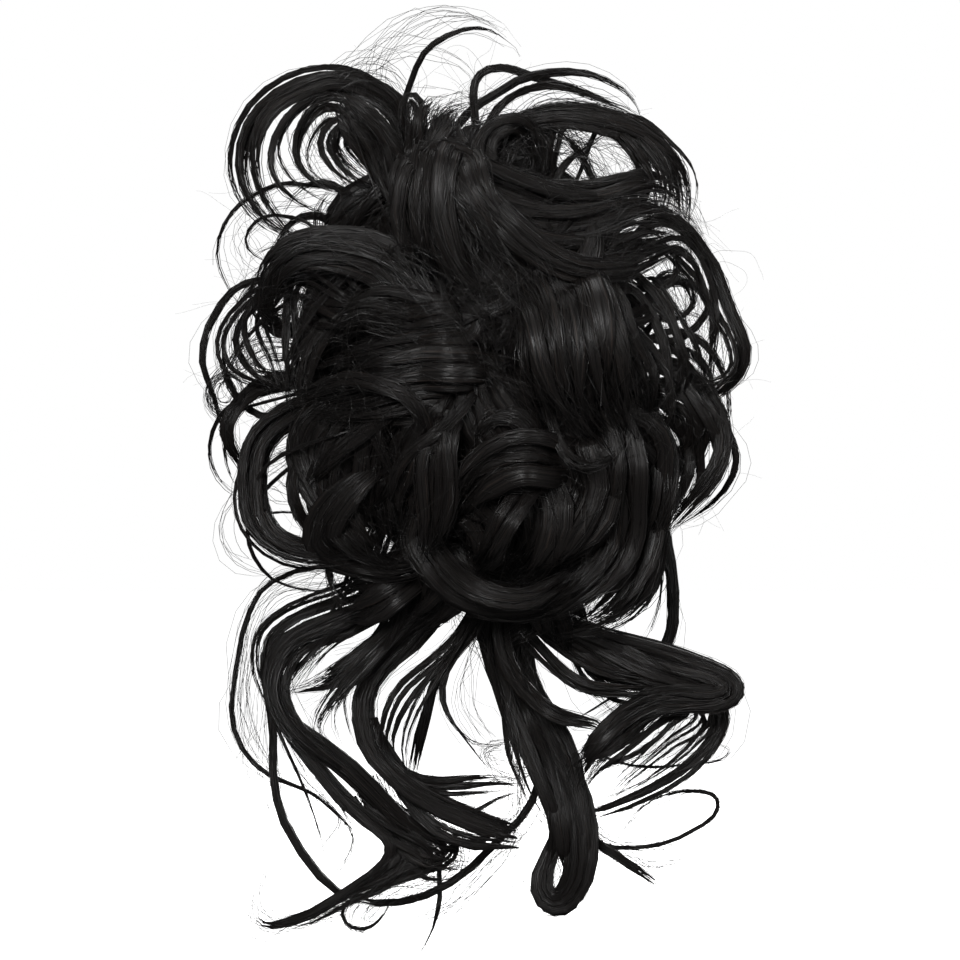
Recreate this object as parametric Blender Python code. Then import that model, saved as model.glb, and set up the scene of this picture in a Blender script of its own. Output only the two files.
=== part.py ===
"""A messy top knot of false hair: an elastic loop, a hollow core of gathered hair, a mass of curls
over it and long locks that hang below. Metres, +Z up. The loop's axis is Y and the bun faces -Y.
The origin is the centre of the elastic loop, where the wearer's own knot goes in from +Y."""

import math
from collections import namedtuple

import bmesh
import bpy
import numpy as np

# Driving sizes
BUN_RADIUS = 0.089  # reach of the curls from the loop's axis
BUN_DEPTH = 0.078  # how far the front curls stand out from the loop's plane
TAIL_HALF_WIDTH = 0.088  # reach of the hanging locks to each side
TAIL_DROP = 0.118  # drop of the hanging locks' lowest bends below the core
MOUTH_RADIUS = 0.0315  # inside of the hollow that takes the wearer's own knot
SIDE_WALL = 0.0115  # the gathered hair beside the hollow
TOP_WALL = 0.0245  # above and below it
FRONT_WALL = 0.0105  # and in front of it
DOME_DEPTH = 0.030  # from the core's rim to its front
RIM_BACK = 0.007  # how far the core reaches behind the loop's plane
BACK_ROUND = 0.005  # rounding of the core's back edge
ELASTIC_THICKNESS = 0.006
BACKING = 0.0025  # layer of hair that carries the curls
CLEARANCE = 0.0003
CURL_FLATNESS = 0.62  # a curl's thickness as a share of its width
TENDRIL_FLATNESS = 0.46  # and a hanging lock's
CURL_TIP = 0.45  # a curl's width at its tip as a share of its full width
TENDRIL_TIP = 0.6  # and a hanging lock's
ROOT_WIDTH = 0.5  # any lock's width where it is sewn on, as a share of its full width
ROOT_LENGTH = 0.25  # share of its length in which a lock widens
TIP_LENGTH = 0.35  # share of its length in which a lock narrows
STEM = 0.006  # straight stretch where a hanging lock is sewn on
LAYER_GAP = 0.0008  # room between the layers of hanging locks
LAYER_SWAY = 0.0045  # how far all hanging locks swing back and forwards together
SWAY_DOWN = 8  # radians of the sway in the tail's drop
SWAY_ACROSS = 2.6  # and in the tail's half width

# Fineness of the mesh
CORE_SIDES = 32
DOME_STEPS = 6
ROUND_STEPS = 3
ELASTIC_SIDES = 8
LOCK_SIDES = 5
CURL_STEP = 0.0095
TENDRIL_STEP = 0.0080

# The colours are those of the fibres
HAIR_COLOUR = (0.010, 0.009, 0.009, 1.0)
ELASTIC_COLOUR = (0.012, 0.012, 0.013, 1.0)
HAIR_ROUGHNESS = 0.38
ELASTIC_ROUGHNESS = 0.7

# A bend is an arc of an ellipse. Its centre and reach are shares, and its start and sweep are degrees
# from +X towards +Z. For a curl they are shares of the bun's radius. For a hanging lock, across is a
# share of the tail's half width, and up a share of its drop, from the underside of the core.
Bend = namedtuple("Bend", "across up reach_across reach_up start sweep")

# Root is the angle round the loop's axis where a lock is sewn on, and rise the angle from the rim (0)
# to the front of the dome (90). Width is a share of the bun's radius or the tail's half width. Out is
# a share of the bun's depth, at the start and the end of the bend.
Curl = namedtuple("Curl", "name root rise width out_start out_end bend")
Tendril = namedtuple("Tendril", "name root layer width bends")

CURLS = [
    Curl("left_ring_outer", 118, 14, 0.060, 0.34, 0.40, Bend(-0.56, 0.72, 0.34, 0.32, 40, 200)),
    Curl("left_ring_inner", 124, 26, 0.055, 0.46, 0.48, Bend(-0.55, 0.73, 0.27, 0.26, 45, 195)),
    Curl("left_ring_thin", 140, 12, 0.028, 0.32, 0.26, Bend(-0.68, 0.40, 0.26, 0.23, 80, 150)),
    Curl("left_band", 112, 40, 0.110, 0.70, 0.55, Bend(-0.42, 0.76, 0.16, 0.16, 20, 200)),
    Curl("left_eye", 130, 34, 0.060, 0.58, 0.52, Bend(-0.48, 0.72, 0.17, 0.12, 70, 230)),
    Curl("peak", 101, 40, 0.075, 0.62, 0.52, Bend(-0.24, 0.86, 0.07, 0.11, 0, 190)),
    Curl("top_loop", 98, 8, 0.028, 0.38, 0.24, Bend(-0.05, 1.00, 0.21, 0.21, 190, -175)),
    Curl("top_arch_thin", 90, 14, 0.030, 0.34, 0.42, Bend(0.20, 0.80, 0.25, 0.27, 165, -150)),
    Curl("top_arch", 82, 22, 0.045, 0.38, 0.34, Bend(0.32, 0.76, 0.30, 0.28, 150, -155)),
    Curl("crown", 86, 34, 0.130, 0.60, 0.44, Bend(0.02, 0.68, 0.18, 0.20, 150, -140)),
    Curl("crown_left", 106, 22, 0.110, 0.50, 0.40, Bend(-0.18, 0.66, 0.16, 0.20, 60, 150)),
    Curl("right_brow", 72, 34, 0.090, 0.55, 0.44, Bend(0.42, 0.55, 0.34, 0.34, 125, -145)),
    Curl("right_eye", 62, 26, 0.060, 0.42, 0.34, Bend(0.36, 0.60, 0.25, 0.22, 140, -170)),
    Curl("right_back", 56, 10, 0.080, 0.26, 0.16, Bend(0.40, 0.42, 0.30, 0.30, 100, -150)),
    Curl("right_sweep_upper", 96, 56, 0.110, 0.88, 0.52, Bend(0.45, 0.96, 0.58, 0.40, 208, 92)),
    Curl("right_sweep_lower", 88, 66, 0.120, 0.95, 0.56, Bend(0.45, 0.80, 0.47, 0.46, 200, 110)),
    Curl("right_outer_loop", 36, 16, 0.048, 0.42, 0.36, Bend(0.71, 0.14, 0.25, 0.28, 100, -215)),
    Curl("right_inner_loop", 18, 30, 0.060, 0.56, 0.50, Bend(0.70, 0.05, 0.20, 0.20, 120, -220)),
    Curl("right_strand", 44, 36, 0.070, 0.64, 0.48, Bend(0.35, -0.15, 0.42, 0.46, 70, -90)),
    Curl("right_back_loop", 6, 8, 0.080, 0.22, 0.12, Bend(0.55, 0.02, 0.26, 0.26, 120, -160)),
    Curl("right_hem_outer", -2, 14, 0.036, 0.38, 0.36, Bend(0.60, -0.28, 0.31, 0.36, 45, -120)),
    Curl("right_hem", -14, 26, 0.100, 0.52, 0.52, Bend(0.54, -0.38, 0.22, 0.26, 50, -130)),
    Curl("right_hem_low", -34, 14, 0.090, 0.40, 0.46, Bend(0.40, -0.66, 0.24, 0.24, 50, -110)),
    Curl("front_fall", 56, 60, 0.190, 0.94, 0.84, Bend(0.74, -0.02, 0.40, 0.44, 128, 108)),
    Curl("front_fall_outer", 36, 54, 0.110, 0.84, 0.70, Bend(0.90, -0.02, 0.36, 0.42, 140, 90)),
    Curl("left_arch", 150, 48, 0.100, 0.80, 0.54, Bend(-0.52, 0.20, 0.25, 0.23, 45, 160)),
    Curl("left_outer_loop", 160, 14, 0.048, 0.36, 0.36, Bend(-0.70, -0.03, 0.27, 0.32, 95, 145)),
    Curl("left_inner_loop", 170, 26, 0.050, 0.46, 0.46, Bend(-0.66, 0.09, 0.21, 0.19, 100, 170)),
    Curl("left_drop", 144, 38, 0.100, 0.66, 0.58, Bend(-0.40, 0.04, 0.25, 0.26, 85, 130)),
    Curl("left_back", 164, 6, 0.090, 0.20, 0.12, Bend(-0.55, 0.16, 0.28, 0.28, 70, 150)),
    Curl("front_wave", 112, 66, 0.150, 0.96, 0.70, Bend(-0.22, -0.10, 0.50, 0.30, 70, 80)),
    Curl("front_sweep", 25, 72, 0.130, 1.00, 0.56, Bend(-0.20, -0.50, 0.70, 0.45, 75, 72)),
    Curl("left_hem_thin", 186, 12, 0.034, 0.38, 0.38, Bend(-0.70, -0.35, 0.25, 0.24, 110, 140)),
    Curl("left_hem_ring", 192, 30, 0.085, 0.56, 0.48, Bend(-0.55, -0.49, 0.28, 0.23, 140, 170)),
    Curl("left_hem_inner", 204, 36, 0.075, 0.66, 0.54, Bend(-0.38, -0.42, 0.26, 0.27, 140, 125)),
    Curl("left_back_low", 200, 8, 0.090, 0.22, 0.16, Bend(-0.46, -0.40, 0.26, 0.26, 110, 140)),
    Curl("left_low", 206, 46, 0.150, 0.74, 0.52, Bend(-0.34, -0.26, 0.26, 0.34, 150, 85)),
    Curl("left_shoulder", 214, 60, 0.110, 0.90, 0.60, Bend(-0.36, -0.58, 0.40, 0.38, 80, 80)),
    Curl("lower_bow", 240, 28, 0.090, 0.62, 0.64, Bend(0.17, -0.53, 0.31, 0.30, 205, 150)),
    Curl("lower_left", 232, 44, 0.100, 0.74, 0.60, Bend(-0.10, -0.52, 0.24, 0.20, 180, 110)),
    Curl("lower_back_left", 252, 14, 0.140, 0.48, 0.44, Bend(-0.30, -0.60, 0.24, 0.24, 340, -100)),
    Curl("lower_back", 278, 16, 0.150, 0.50, 0.46, Bend(0.18, -0.62, 0.22, 0.26, 200, 100)),
    Curl("lower_back_right", 304, 14, 0.160, 0.50, 0.44, Bend(0.34, -0.60, 0.26, 0.34, 20, -90)),
    Curl("right_low", -26, 42, 0.170, 0.72, 0.56, Bend(0.24, -0.42, 0.34, 0.36, 35, -80)),
    Curl("lower_fall", -46, 64, 0.140, 0.94, 0.76, Bend(0.24, -0.66, 0.38, 0.38, 90, 85)),
]

# Curls that turn back over the rim, evenly spaced round its upper side: the first one's root and the
# last one's, and how far a curl's bend runs ahead of its root. Their bend starts at its root's angle.
BACK_CURL_COUNT = 9
BACK_CURL_ROOTS = (26, 186)
BACK_CURL_LEAD = 16
BACK_CURL = Curl("back", 0, 6, 0.095, 0.22, -0.06, Bend(0.60, 0.68, 0.17, 0.17, -60, 190))

TENDRILS = [
    Tendril("far_left", 228, 0, 0.028, [
        Bend(-0.58, -0.40, 0.30, 0.29, 95, 110),
        Bend(-0.58, -0.81, 0.11, 0.10, 70, -130)]),
    Tendril("left_outer", 232, 1, 0.056, [
        Bend(-0.68, -0.31, 0.12, 0.10, 100, 125),
        Bend(-0.28, -0.59, 0.46, 0.37, 178, 60)]),
    Tendril("left_main", 236, 2, 0.130, [
        Bend(-0.60, -0.35, 0.14, 0.10, 75, 135),
        Bend(-0.38, -0.83, 0.12, 0.09, 50, -130),
        Bend(-0.74, -1.00, 0.07, 0.05, 275, -110)]),
    Tendril("left_branch", 240, 3, 0.080, [
        Bend(-0.42, -0.49, 0.17, 0.13, 100, 85)]),
    Tendril("left_wisp", 246, 5, 0.060, [
        Bend(-0.70, 0.18, 0.80, 0.59, 302, -32)]),
    Tendril("blunt", 250, 4, 0.115, [
        Bend(-0.11, -0.44, 0.29, 0.28, 135, 92),
        Bend(0.18, -0.47, 0.50, 0.32, 235, 33)]),
    Tendril("straight_left", 258, 5, 0.050, [
        Bend(-0.12, -0.53, 0.21, 0.18, 130, 65)]),
    Tendril("straight_right", 262, 2, 0.050, [
        Bend(0.05, -0.53, 0.25, 0.30, 140, 60)]),
    Tendril("thin_loop", 268, 5, 0.030, [
        Bend(0.03, -0.42, 0.16, 0.13, 140, 155)]),
    Tendril("centre_main", 276, 3, 0.130, [
        Bend(0.36, -0.34, 0.28, 0.19, 175, 45),
        Bend(0.29, -0.89, 0.09, 0.10, 35, -210)]),
    Tendril("cross_strap", 282, 1, 0.056, [
        Bend(-0.14, -0.62, 0.25, 0.22, 25, -65),
        Bend(-0.28, -0.71, 0.40, 0.26, 305, -50)]),
    Tendril("right_hook", 292, 4, 0.120, [
        Bend(0.84, -0.39, 0.10, 0.05, 95, -185),
        Bend(0.60, -0.57, 0.17, 0.13, 100, 75)]),
    Tendril("right_outer", 300, 2, 0.062, [
        Bend(0.50, -0.42, 0.40, 0.31, 50, -135)]),
    Tendril("right_inner", 308, 1, 0.070, [
        Bend(0.28, -0.53, 0.18, 0.18, 40, -75),
        Bend(0.62, -0.72, 0.22, 0.21, 172, 90)]),
    Tendril("right_fall", 346, 0, 0.056, [
        Bend(0.40, 0.11, 0.27, 0.32, 40, -60),
        Bend(0.44, -0.20, 0.27, 0.19, 15, -95)]),
]

# The core is sized by its hollow and walls, and its rim is long enough to seat every layer of locks
CORE_ACROSS = MOUTH_RADIUS + SIDE_WALL
CORE_UP = MOUTH_RADIUS + TOP_WALL
LAYER_PITCH = max(tendril.width for tendril in TENDRILS) * TAIL_HALF_WIDTH * TENDRIL_FLATNESS + LAYER_GAP
LAYER_BACK = RIM_BACK - BACK_ROUND - LAYER_PITCH / 2
RIM_FRONT = max(tendril.layer for tendril in TENDRILS) * LAYER_PITCH + LAYER_PITCH / 2 - LAYER_BACK


def material(name, colour, roughness):
    made = bpy.data.materials.new(name)
    made.use_nodes = True
    shader = made.node_tree.nodes["Principled BSDF"]
    shader.inputs["Base Color"].default_value = colour
    shader.inputs["Roughness"].default_value = roughness
    shader.inputs["Metallic"].default_value = 0.0
    return made


def new_object(name, mesh, finish):
    """Adds a mesh to the scene as an object of that name and finish."""
    made = bpy.data.objects.new(name, mesh)
    made.data.materials.append(finish)
    bpy.context.scene.collection.objects.link(made)
    return made


def ring_mesh(name, profile, sides):
    """Joins oval rings round the Y axis, each given by its reach across, its reach up and its y, into
    a closed skin. Reaches of 0 make a pole."""
    shape = bmesh.new()
    rings = []
    for across, up, y in profile:
        if across == 0:
            rings.append([shape.verts.new((0, y, 0))] * sides)
            continue
        angles = [math.tau * side / sides for side in range(sides)]
        rings.append([shape.verts.new((across * math.cos(a), y, up * math.sin(a))) for a in angles])
    for ring, following in zip(rings, rings[1:] + rings[:1]):
        for side in range(sides):
            after = (side + 1) % sides
            corners = [ring[side], ring[after], following[after], following[side]]
            distinct = list(dict.fromkeys(corners))
            if len(distinct) > 2:
                shape.faces.new(distinct)
    return finished_mesh(name, shape)


def finished_mesh(name, shape):
    """Turns the faces outwards and shades round stretches smooth."""
    bmesh.ops.recalc_face_normals(shape, faces=shape.faces)
    mesh = bpy.data.meshes.new(name)
    shape.to_mesh(mesh)
    shape.free()
    mesh.shade_smooth()
    mesh.set_sharp_from_angle(angle=math.radians(50))
    return mesh


def dome_rings(across, up, depth):
    """Rings from the front of the rim to the pole in front of it."""
    angles = [math.pi / 2 * step / DOME_STEPS for step in range(DOME_STEPS)]
    rings = [(across * math.cos(a), up * math.cos(a), -RIM_FRONT - depth * math.sin(a)) for a in angles]
    return rings + [(0, 0, -RIM_FRONT - depth)]


def arc_points(bend, scale_across, scale_up, steps=24):
    """Points along a bend, and its directions at the start and the end."""
    turns = np.radians(bend.start + bend.sweep * np.linspace(0, 1, steps))
    reach = np.array([bend.reach_across * scale_across, bend.reach_up * scale_up])
    centre = np.array([bend.across * scale_across, bend.up * scale_up])
    points = centre + reach * np.stack([np.cos(turns), np.sin(turns)], axis=1)
    ways = math.copysign(1, bend.sweep) * reach * np.stack([-np.sin(turns), np.cos(turns)], axis=1)
    ways /= np.linalg.norm(ways, axis=1)[:, None]
    return points, ways[0], ways[-1]


def joined(start, start_way, end, end_way, steps=12):
    """A smooth curve from start to end that keeps the direction at each."""
    share = np.linspace(0, 1, steps)[:, None]
    pull = np.linalg.norm(np.subtract(end, start))
    return (
        (2 * share**3 - 3 * share**2 + 1) * start
        + (share**3 - 2 * share**2 + share) * pull * np.array(start_way)
        + (3 * share**2 - 2 * share**3) * end
        + (share**3 - share**2) * pull * np.array(end_way)
    )


def even_steps(points, step):
    """The same line with points about one step apart."""
    lengths = np.concatenate([[0], np.cumsum(np.linalg.norm(np.diff(points, axis=0), axis=1))])
    count = max(6, round(lengths[-1] / step))
    marks = np.linspace(0, lengths[-1], count + 1)
    return np.stack([np.interp(marks, lengths, points[:, axis]) for axis in range(3)], axis=1)


def softened(points, times=2):
    """The same line with its sharper turns rounded, its ends kept."""
    for _ in range(times):
        middle = (points[:-2] + 2 * points[1:-1] + points[2:]) / 4
        points = np.concatenate([points[:1], middle, points[-1:]])
    return points


def smooth_share(value):
    """Eases from 0 to 1 as value does."""
    value = np.clip(value, 0, 1)
    return value * value * (3 - 2 * value)


def width_along(share, tip):
    """A lock's width as a share of its full width: narrow where it is sewn on, and at its tip."""
    widening = ROOT_WIDTH + (1 - ROOT_WIDTH) * smooth_share(share / ROOT_LENGTH)
    narrowing = 1 - (1 - tip) * smooth_share((share - 1 + TIP_LENGTH) / TIP_LENGTH)
    return widening * narrowing


def directions(path, first_way):
    """The direction of the path at each of its points."""
    ways = np.gradient(path, axis=0)
    ways[0] = first_way
    return ways / np.linalg.norm(ways, axis=1)[:, None]


def carried_back(ways, normal):
    """A normal for each point, carried from the end of the path to its start with the least twist."""
    normals = []
    for way in ways[::-1]:
        normal = normal - normal.dot(way) * way
        normal = normal / np.linalg.norm(normal)
        normals.append(normal)
    return np.array(normals[::-1])


def lock_mesh(name, path, ways, normals, width, flatness, tip):
    """A closed tube of flattened rings along a path, thin in the direction of the normals."""
    across = np.cross(ways, normals)
    half = width / 2 * width_along(np.linspace(0, 1, len(path)), tip)
    angles = [math.tau * (side + 0.5) / LOCK_SIDES for side in range(LOCK_SIDES)]
    shape = bmesh.new()
    rings = []
    for centre, side_way, normal, reach in zip(path, across, normals, half):
        offsets = [math.cos(a) * side_way + flatness * math.sin(a) * normal for a in angles]
        rings.append([shape.verts.new(centre + reach * offset) for offset in offsets])
    for ring, following in zip(rings, rings[1:]):
        for side in range(LOCK_SIDES):
            after = (side + 1) % LOCK_SIDES
            shape.faces.new([ring[side], ring[after], following[after], following[side]])
    shape.faces.new(rings[0])
    shape.faces.new(rings[-1])
    return finished_mesh(name, shape)


def dome_point(turn, rise, margin):
    """A point on the dome with a margin round the core, and its outward direction."""
    turn, rise = math.radians(turn), math.radians(rise)
    size = np.array([CORE_ACROSS, DOME_DEPTH, CORE_UP]) + margin
    out = np.array([math.cos(turn) * math.cos(rise), -math.sin(rise), math.sin(turn) * math.cos(rise)])
    normal = out / size
    return out * size - (0, RIM_FRONT, 0), normal / np.linalg.norm(normal)


def rim_point(turn, margin):
    """A point round the rim with a margin to the core, in the loop's plane, and its outward direction."""
    turn = math.radians(turn)
    out = np.array([math.cos(turn), 0, math.sin(turn)])
    on_rim = out * (CORE_ACROSS, 0, CORE_UP)
    normal = np.array([on_rim[0] / CORE_ACROSS**2, 0, on_rim[2] / CORE_UP**2])
    normal /= np.linalg.norm(normal)
    return on_rim + margin * normal, normal


def lifted(points, margin):
    """The points, with those nearer to the core than the margin moved straight out to it."""
    rays = points + (0, RIM_FRONT, 0)
    behind = np.maximum(rays[:, 1:2], 0) * (0, 1, 0)
    rays = rays - behind
    size = np.array([CORE_ACROSS, DOME_DEPTH, CORE_UP]) + margin
    share = np.linalg.norm(rays / size, axis=1)[:, None]
    return rays / np.clip(share, 0.05, 1) + behind - (0, RIM_FRONT, 0)


def back_curl(index):
    """One of the curls that turn back over the rim, away from the middle of the bun's top."""
    first, last = BACK_CURL_ROOTS
    root = first + (last - first) * index / (BACK_CURL_COUNT - 1)
    side = -1 if root < 90 else 1
    middle = math.radians(root + BACK_CURL_LEAD * side)
    bend = BACK_CURL.bend
    turned = bend._replace(
        across=bend.across * math.cos(middle), up=bend.up * math.sin(middle),
        start=root + bend.start * side, sweep=bend.sweep * side)
    return BACK_CURL._replace(name=f"back_{index}", root=root, bend=turned)


def curl_path(curl):
    """From the backing, out along its normal, and round the bend. Also the direction it starts in."""
    root, normal = dome_point(curl.root, curl.rise, CLEARANCE + BACKING / 2)
    flat, start_way, end_way = arc_points(curl.bend, BUN_RADIUS, BUN_RADIUS)
    share = np.linspace(0, 1, len(flat))
    out = -BUN_DEPTH * (curl.out_start + (curl.out_end - curl.out_start) * share)
    arc = np.stack([flat[:, 0], out, flat[:, 1]], axis=1)
    stem = joined(root, normal, arc[0], (start_way[0], 0, start_way[1]))
    path = even_steps(np.concatenate([stem[:-1], arc]), CURL_STEP)
    room = CLEARANCE + BACKING + CURL_FLATNESS * curl.width * BUN_RADIUS / 2
    risen = np.concatenate([path[:1], lifted(path[1:], room)])
    eased = softened(risen)
    return np.concatenate([eased[:1], lifted(eased[1:], room)]), normal


def sway(across, up):
    """How far back the hanging locks swing at a place. It is nothing above the core's underside."""
    drop = np.maximum(-up - CORE_UP, 0) / TAIL_DROP
    return LAYER_SWAY * (1 - np.cos(SWAY_DOWN * drop)) * np.cos(SWAY_ACROSS * across / TAIL_HALF_WIDTH)


def sway_normals(across, up, step=1e-5):
    """The direction square to the swaying layers, from how the sway changes in a small step."""
    slope_across = (sway(across + step, up) - sway(across, up)) / step
    slope_up = (sway(across, up + step) - sway(across, up)) / step
    return np.stack([slope_across, -np.ones(len(across)), slope_up], axis=1)


def tendril_path(tendril):
    """From the core's rim, down through the bends, in its layer. Also the direction it starts in. All
    layers sway alike, so locks of different layers never meet."""
    root, normal = rim_point(tendril.root, CLEARANCE)
    pieces = []
    end = root + STEM * normal
    way = normal
    for bend in tendril.bends:
        flat, start_way, end_way = arc_points(bend, TAIL_HALF_WIDTH, TAIL_DROP)
        arc = np.stack([flat[:, 0], np.zeros(len(flat)), flat[:, 1] - CORE_UP], axis=1)
        pieces.append(joined(end, way, arc[0], (start_way[0], 0, start_way[1]))[:-1])
        pieces.append(arc[:-1])
        end = arc[-1]
        way = (end_way[0], 0, end_way[1])
    path = np.concatenate([root[None], even_steps(np.concatenate(pieces + [end[None]]), TENDRIL_STEP)])
    room = CLEARANCE + tendril.width * TAIL_HALF_WIDTH / 2
    path[2:] = lifted(path[2:], room)
    path[:, 1] = LAYER_BACK - tendril.layer * LAYER_PITCH + sway(path[:, 0], path[:, 2])
    return path, normal


def make_elastic_band(finish):
    """A loop of round cord inside the mouth of the core."""
    half = ELASTIC_THICKNESS / 2
    radius = MOUTH_RADIUS - CLEARANCE - half
    turns = [math.tau * side / ELASTIC_SIDES for side in range(ELASTIC_SIDES)]
    reaches = [radius + half * math.cos(a) for a in turns]
    profile = [(reach, reach, half * math.sin(a)) for reach, a in zip(reaches, turns)]
    return new_object("elastic_band", ring_mesh("elastic_band", profile, CORE_SIDES), finish)


def make_bun_core(finish):
    """The gathered hair: an oval dome with a rim, and a round hollow behind."""
    outside = dome_rings(CORE_ACROSS, CORE_UP, DOME_DEPTH)
    inside = dome_rings(MOUTH_RADIUS, MOUTH_RADIUS, DOME_DEPTH - FRONT_WALL)
    back = [(MOUTH_RADIUS, MOUTH_RADIUS, RIM_BACK)]
    for step in range(ROUND_STEPS + 1):
        angle = math.pi / 2 * step / ROUND_STEPS
        inset = BACK_ROUND * (1 - math.sin(angle))
        back.append((CORE_ACROSS - inset, CORE_UP - inset, RIM_BACK - BACK_ROUND * (1 - math.cos(angle))))
    return new_object("bun_core", ring_mesh("bun_core", outside + inside[::-1] + back, CORE_SIDES), finish)


def make_backing(finish):
    """The thin layer over the core's dome that carries the curls."""
    skins = []
    for margin in (CLEARANCE, CLEARANCE + BACKING):
        skins.append(dome_rings(CORE_ACROSS + margin, CORE_UP + margin, DOME_DEPTH + margin))
    return new_object("bun_curls", ring_mesh("bun_curls", skins[1] + skins[0][::-1], CORE_SIDES), finish)


def fuse(whole, additions):
    """Unites an object with others in one step, and removes the others."""
    group = bpy.data.collections.new("additions")
    for addition in additions:
        group.objects.link(addition)
    union = whole.modifiers.new("union", "BOOLEAN")
    union.operation = "UNION"
    union.operand_type = "COLLECTION"
    union.collection = group
    union.use_self = True
    graph = bpy.context.evaluated_depsgraph_get()
    united = bpy.data.meshes.new_from_object(whole.evaluated_get(graph))
    whole.modifiers.clear()
    whole.data = united
    for addition in additions:
        bpy.data.objects.remove(addition)
    bpy.data.collections.remove(group)


def make_curl(curl, finish):
    """One curl, its root inside the backing."""
    path, first_way = curl_path(curl)
    ways = directions(path, first_way)
    normals = carried_back(ways, np.array([0, -1, 0]))
    mesh = lock_mesh(curl.name, path, ways, normals, curl.width * BUN_RADIUS, CURL_FLATNESS, CURL_TIP)
    return new_object(curl.name, mesh, finish)


def make_bun_curls(finish):
    """All curls, fused to the backing."""
    bun = make_backing(finish)
    back_curls = [back_curl(index) for index in range(BACK_CURL_COUNT)]
    fuse(bun, [make_curl(curl, finish) for curl in CURLS + back_curls])
    return bun


def make_tendril(tendril, finish):
    """One hanging lock, its end face seated on the core's rim."""
    path, first_way = tendril_path(tendril)
    ways = directions(path, first_way)
    normals = sway_normals(path[:, 0], path[:, 2])
    normals -= (normals * ways).sum(axis=1)[:, None] * ways
    normals /= np.linalg.norm(normals, axis=1)[:, None]
    width = tendril.width * TAIL_HALF_WIDTH
    name = "tendril_" + tendril.name
    mesh = lock_mesh(name, path, ways, normals, width, TENDRIL_FLATNESS, TENDRIL_TIP)
    return new_object(name, mesh, finish)


def main():
    for old in list(bpy.data.objects):
        bpy.data.objects.remove(old)
    hair = material("hair", HAIR_COLOUR, HAIR_ROUGHNESS)
    elastic = material("elastic", ELASTIC_COLOUR, ELASTIC_ROUGHNESS)
    make_elastic_band(elastic)
    make_bun_core(hair)
    make_bun_curls(hair)
    for tendril in TENDRILS:
        make_tendril(tendril, hair)


main()
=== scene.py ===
import bpy
import numpy as np
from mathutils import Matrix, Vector


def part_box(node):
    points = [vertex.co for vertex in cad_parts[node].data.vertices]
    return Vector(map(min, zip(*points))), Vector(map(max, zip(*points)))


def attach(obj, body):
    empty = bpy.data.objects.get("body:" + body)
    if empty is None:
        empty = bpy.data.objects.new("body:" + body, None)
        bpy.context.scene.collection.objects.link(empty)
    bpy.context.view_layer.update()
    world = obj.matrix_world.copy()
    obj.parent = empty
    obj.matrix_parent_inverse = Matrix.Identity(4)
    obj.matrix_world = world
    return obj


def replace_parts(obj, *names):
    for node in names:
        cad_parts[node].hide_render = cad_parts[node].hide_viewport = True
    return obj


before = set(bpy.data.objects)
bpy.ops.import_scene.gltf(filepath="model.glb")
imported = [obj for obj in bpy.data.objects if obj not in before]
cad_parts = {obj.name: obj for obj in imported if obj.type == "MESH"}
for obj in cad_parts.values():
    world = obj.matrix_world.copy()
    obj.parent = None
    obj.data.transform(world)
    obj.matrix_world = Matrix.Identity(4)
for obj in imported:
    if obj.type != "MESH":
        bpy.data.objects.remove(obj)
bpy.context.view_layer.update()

coreLow, coreHigh = (np.array(corner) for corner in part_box("bun_core"))
loopHigh = np.array(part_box("elastic_band")[1])

# The camera looks along +Y. Distance is to the loop's plane, and centre is what it looks at there.
view = {"lens": 135, "sensor": 36, "distance": 1.151, "centre": (0.00064, -0.0384)}
reach = 0.0880  # one unit of a way, the curls' reach from the loop's centre
bunDepth = -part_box("bun_curls")[0][1]  # one unit of a lock's out, from the loop's plane to the front curls

# What a lock is like, its sizes in metres. Pitch and fill give its number of hairs, which stand round the
# bodies of its clumps. Bow is how far a chord may leave a curve. A lock's own values go before these.
hair = {
    "thick": 0.00024, "fine": 0.00013, "pitch": 0.00042, "fill": 2.2, "perClump": 8, "flat": 0.55,
    "body": 0.80, "bodyAcross": 1.9, "bodyOutward": 0.50, "bodyTip": 0.00004, "bodySides": 8, "full": 0.7,
    "bow": 0.00021, "fewestRings": 8, "rings": 90, "rootWidth": 0.5, "tip": 0.45, "ragged": 0.22,
    "loose": 0.4, "tight": 1.0, "stagger": 0.4, "sway": 0.35, "strays": 0.18, "wanderers": 0.3,
    "twist": 1.6, "lean": 0.07,
}
# How a lock's line is laid: its number of points, how far out on the dome a root may lie, how far in
# front of the rim it starts to be on the dome, how far it first rises straight out of the core, and the
# least room under the lock.
line = {"points": 160, "edge": 0.85, "rim": 0.004, "rise": 0.006, "room": 0.0006}
# The core's dome is an ellipsoid in front of a straight rim
dome = 0.030
coreSize = np.array([coreHigh[0], dome, coreHigh[2]])
rimFront = -coreLow[1] - dome
random = np.random.default_rng(7)
# Colours are linear. Streaks are how much of their pattern goes once round a hair or a body.
hairLook = {
    "darkest": (0.0030, 0.0027, 0.0026), "usual": (0.0094, 0.0080, 0.0075),
    "brownest": (0.0260, 0.0190, 0.0155), "smoothest": 0.27, "roughest": 0.42,
    "hairShine": 0.42, "bodyShine": 0.22, "hairStreaks": 0.004, "bodyStreaks": 0.12,
}


def eased(value):
    # goes from 0 to 1 as value does, slow at both ends
    value = np.clip(value, 0, 1)
    return value * value * (3 - 2 * value)


def unit(vectors):
    # each vector divided by its length
    return vectors / np.maximum(np.linalg.norm(vectors, axis=-1, keepdims=True), 1e-9)


def seen(way, y):
    # the point at depth y that the camera sees where it would see the way's point in the loop's plane
    centre = np.array(view["centre"])
    nearness = (view["distance"] + y) / view["distance"]
    flat = centre + (np.asarray(way, float) * reach - centre) * nearness[:, None]
    return np.stack([flat[:, 0], y, flat[:, 1]], axis=1)


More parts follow.
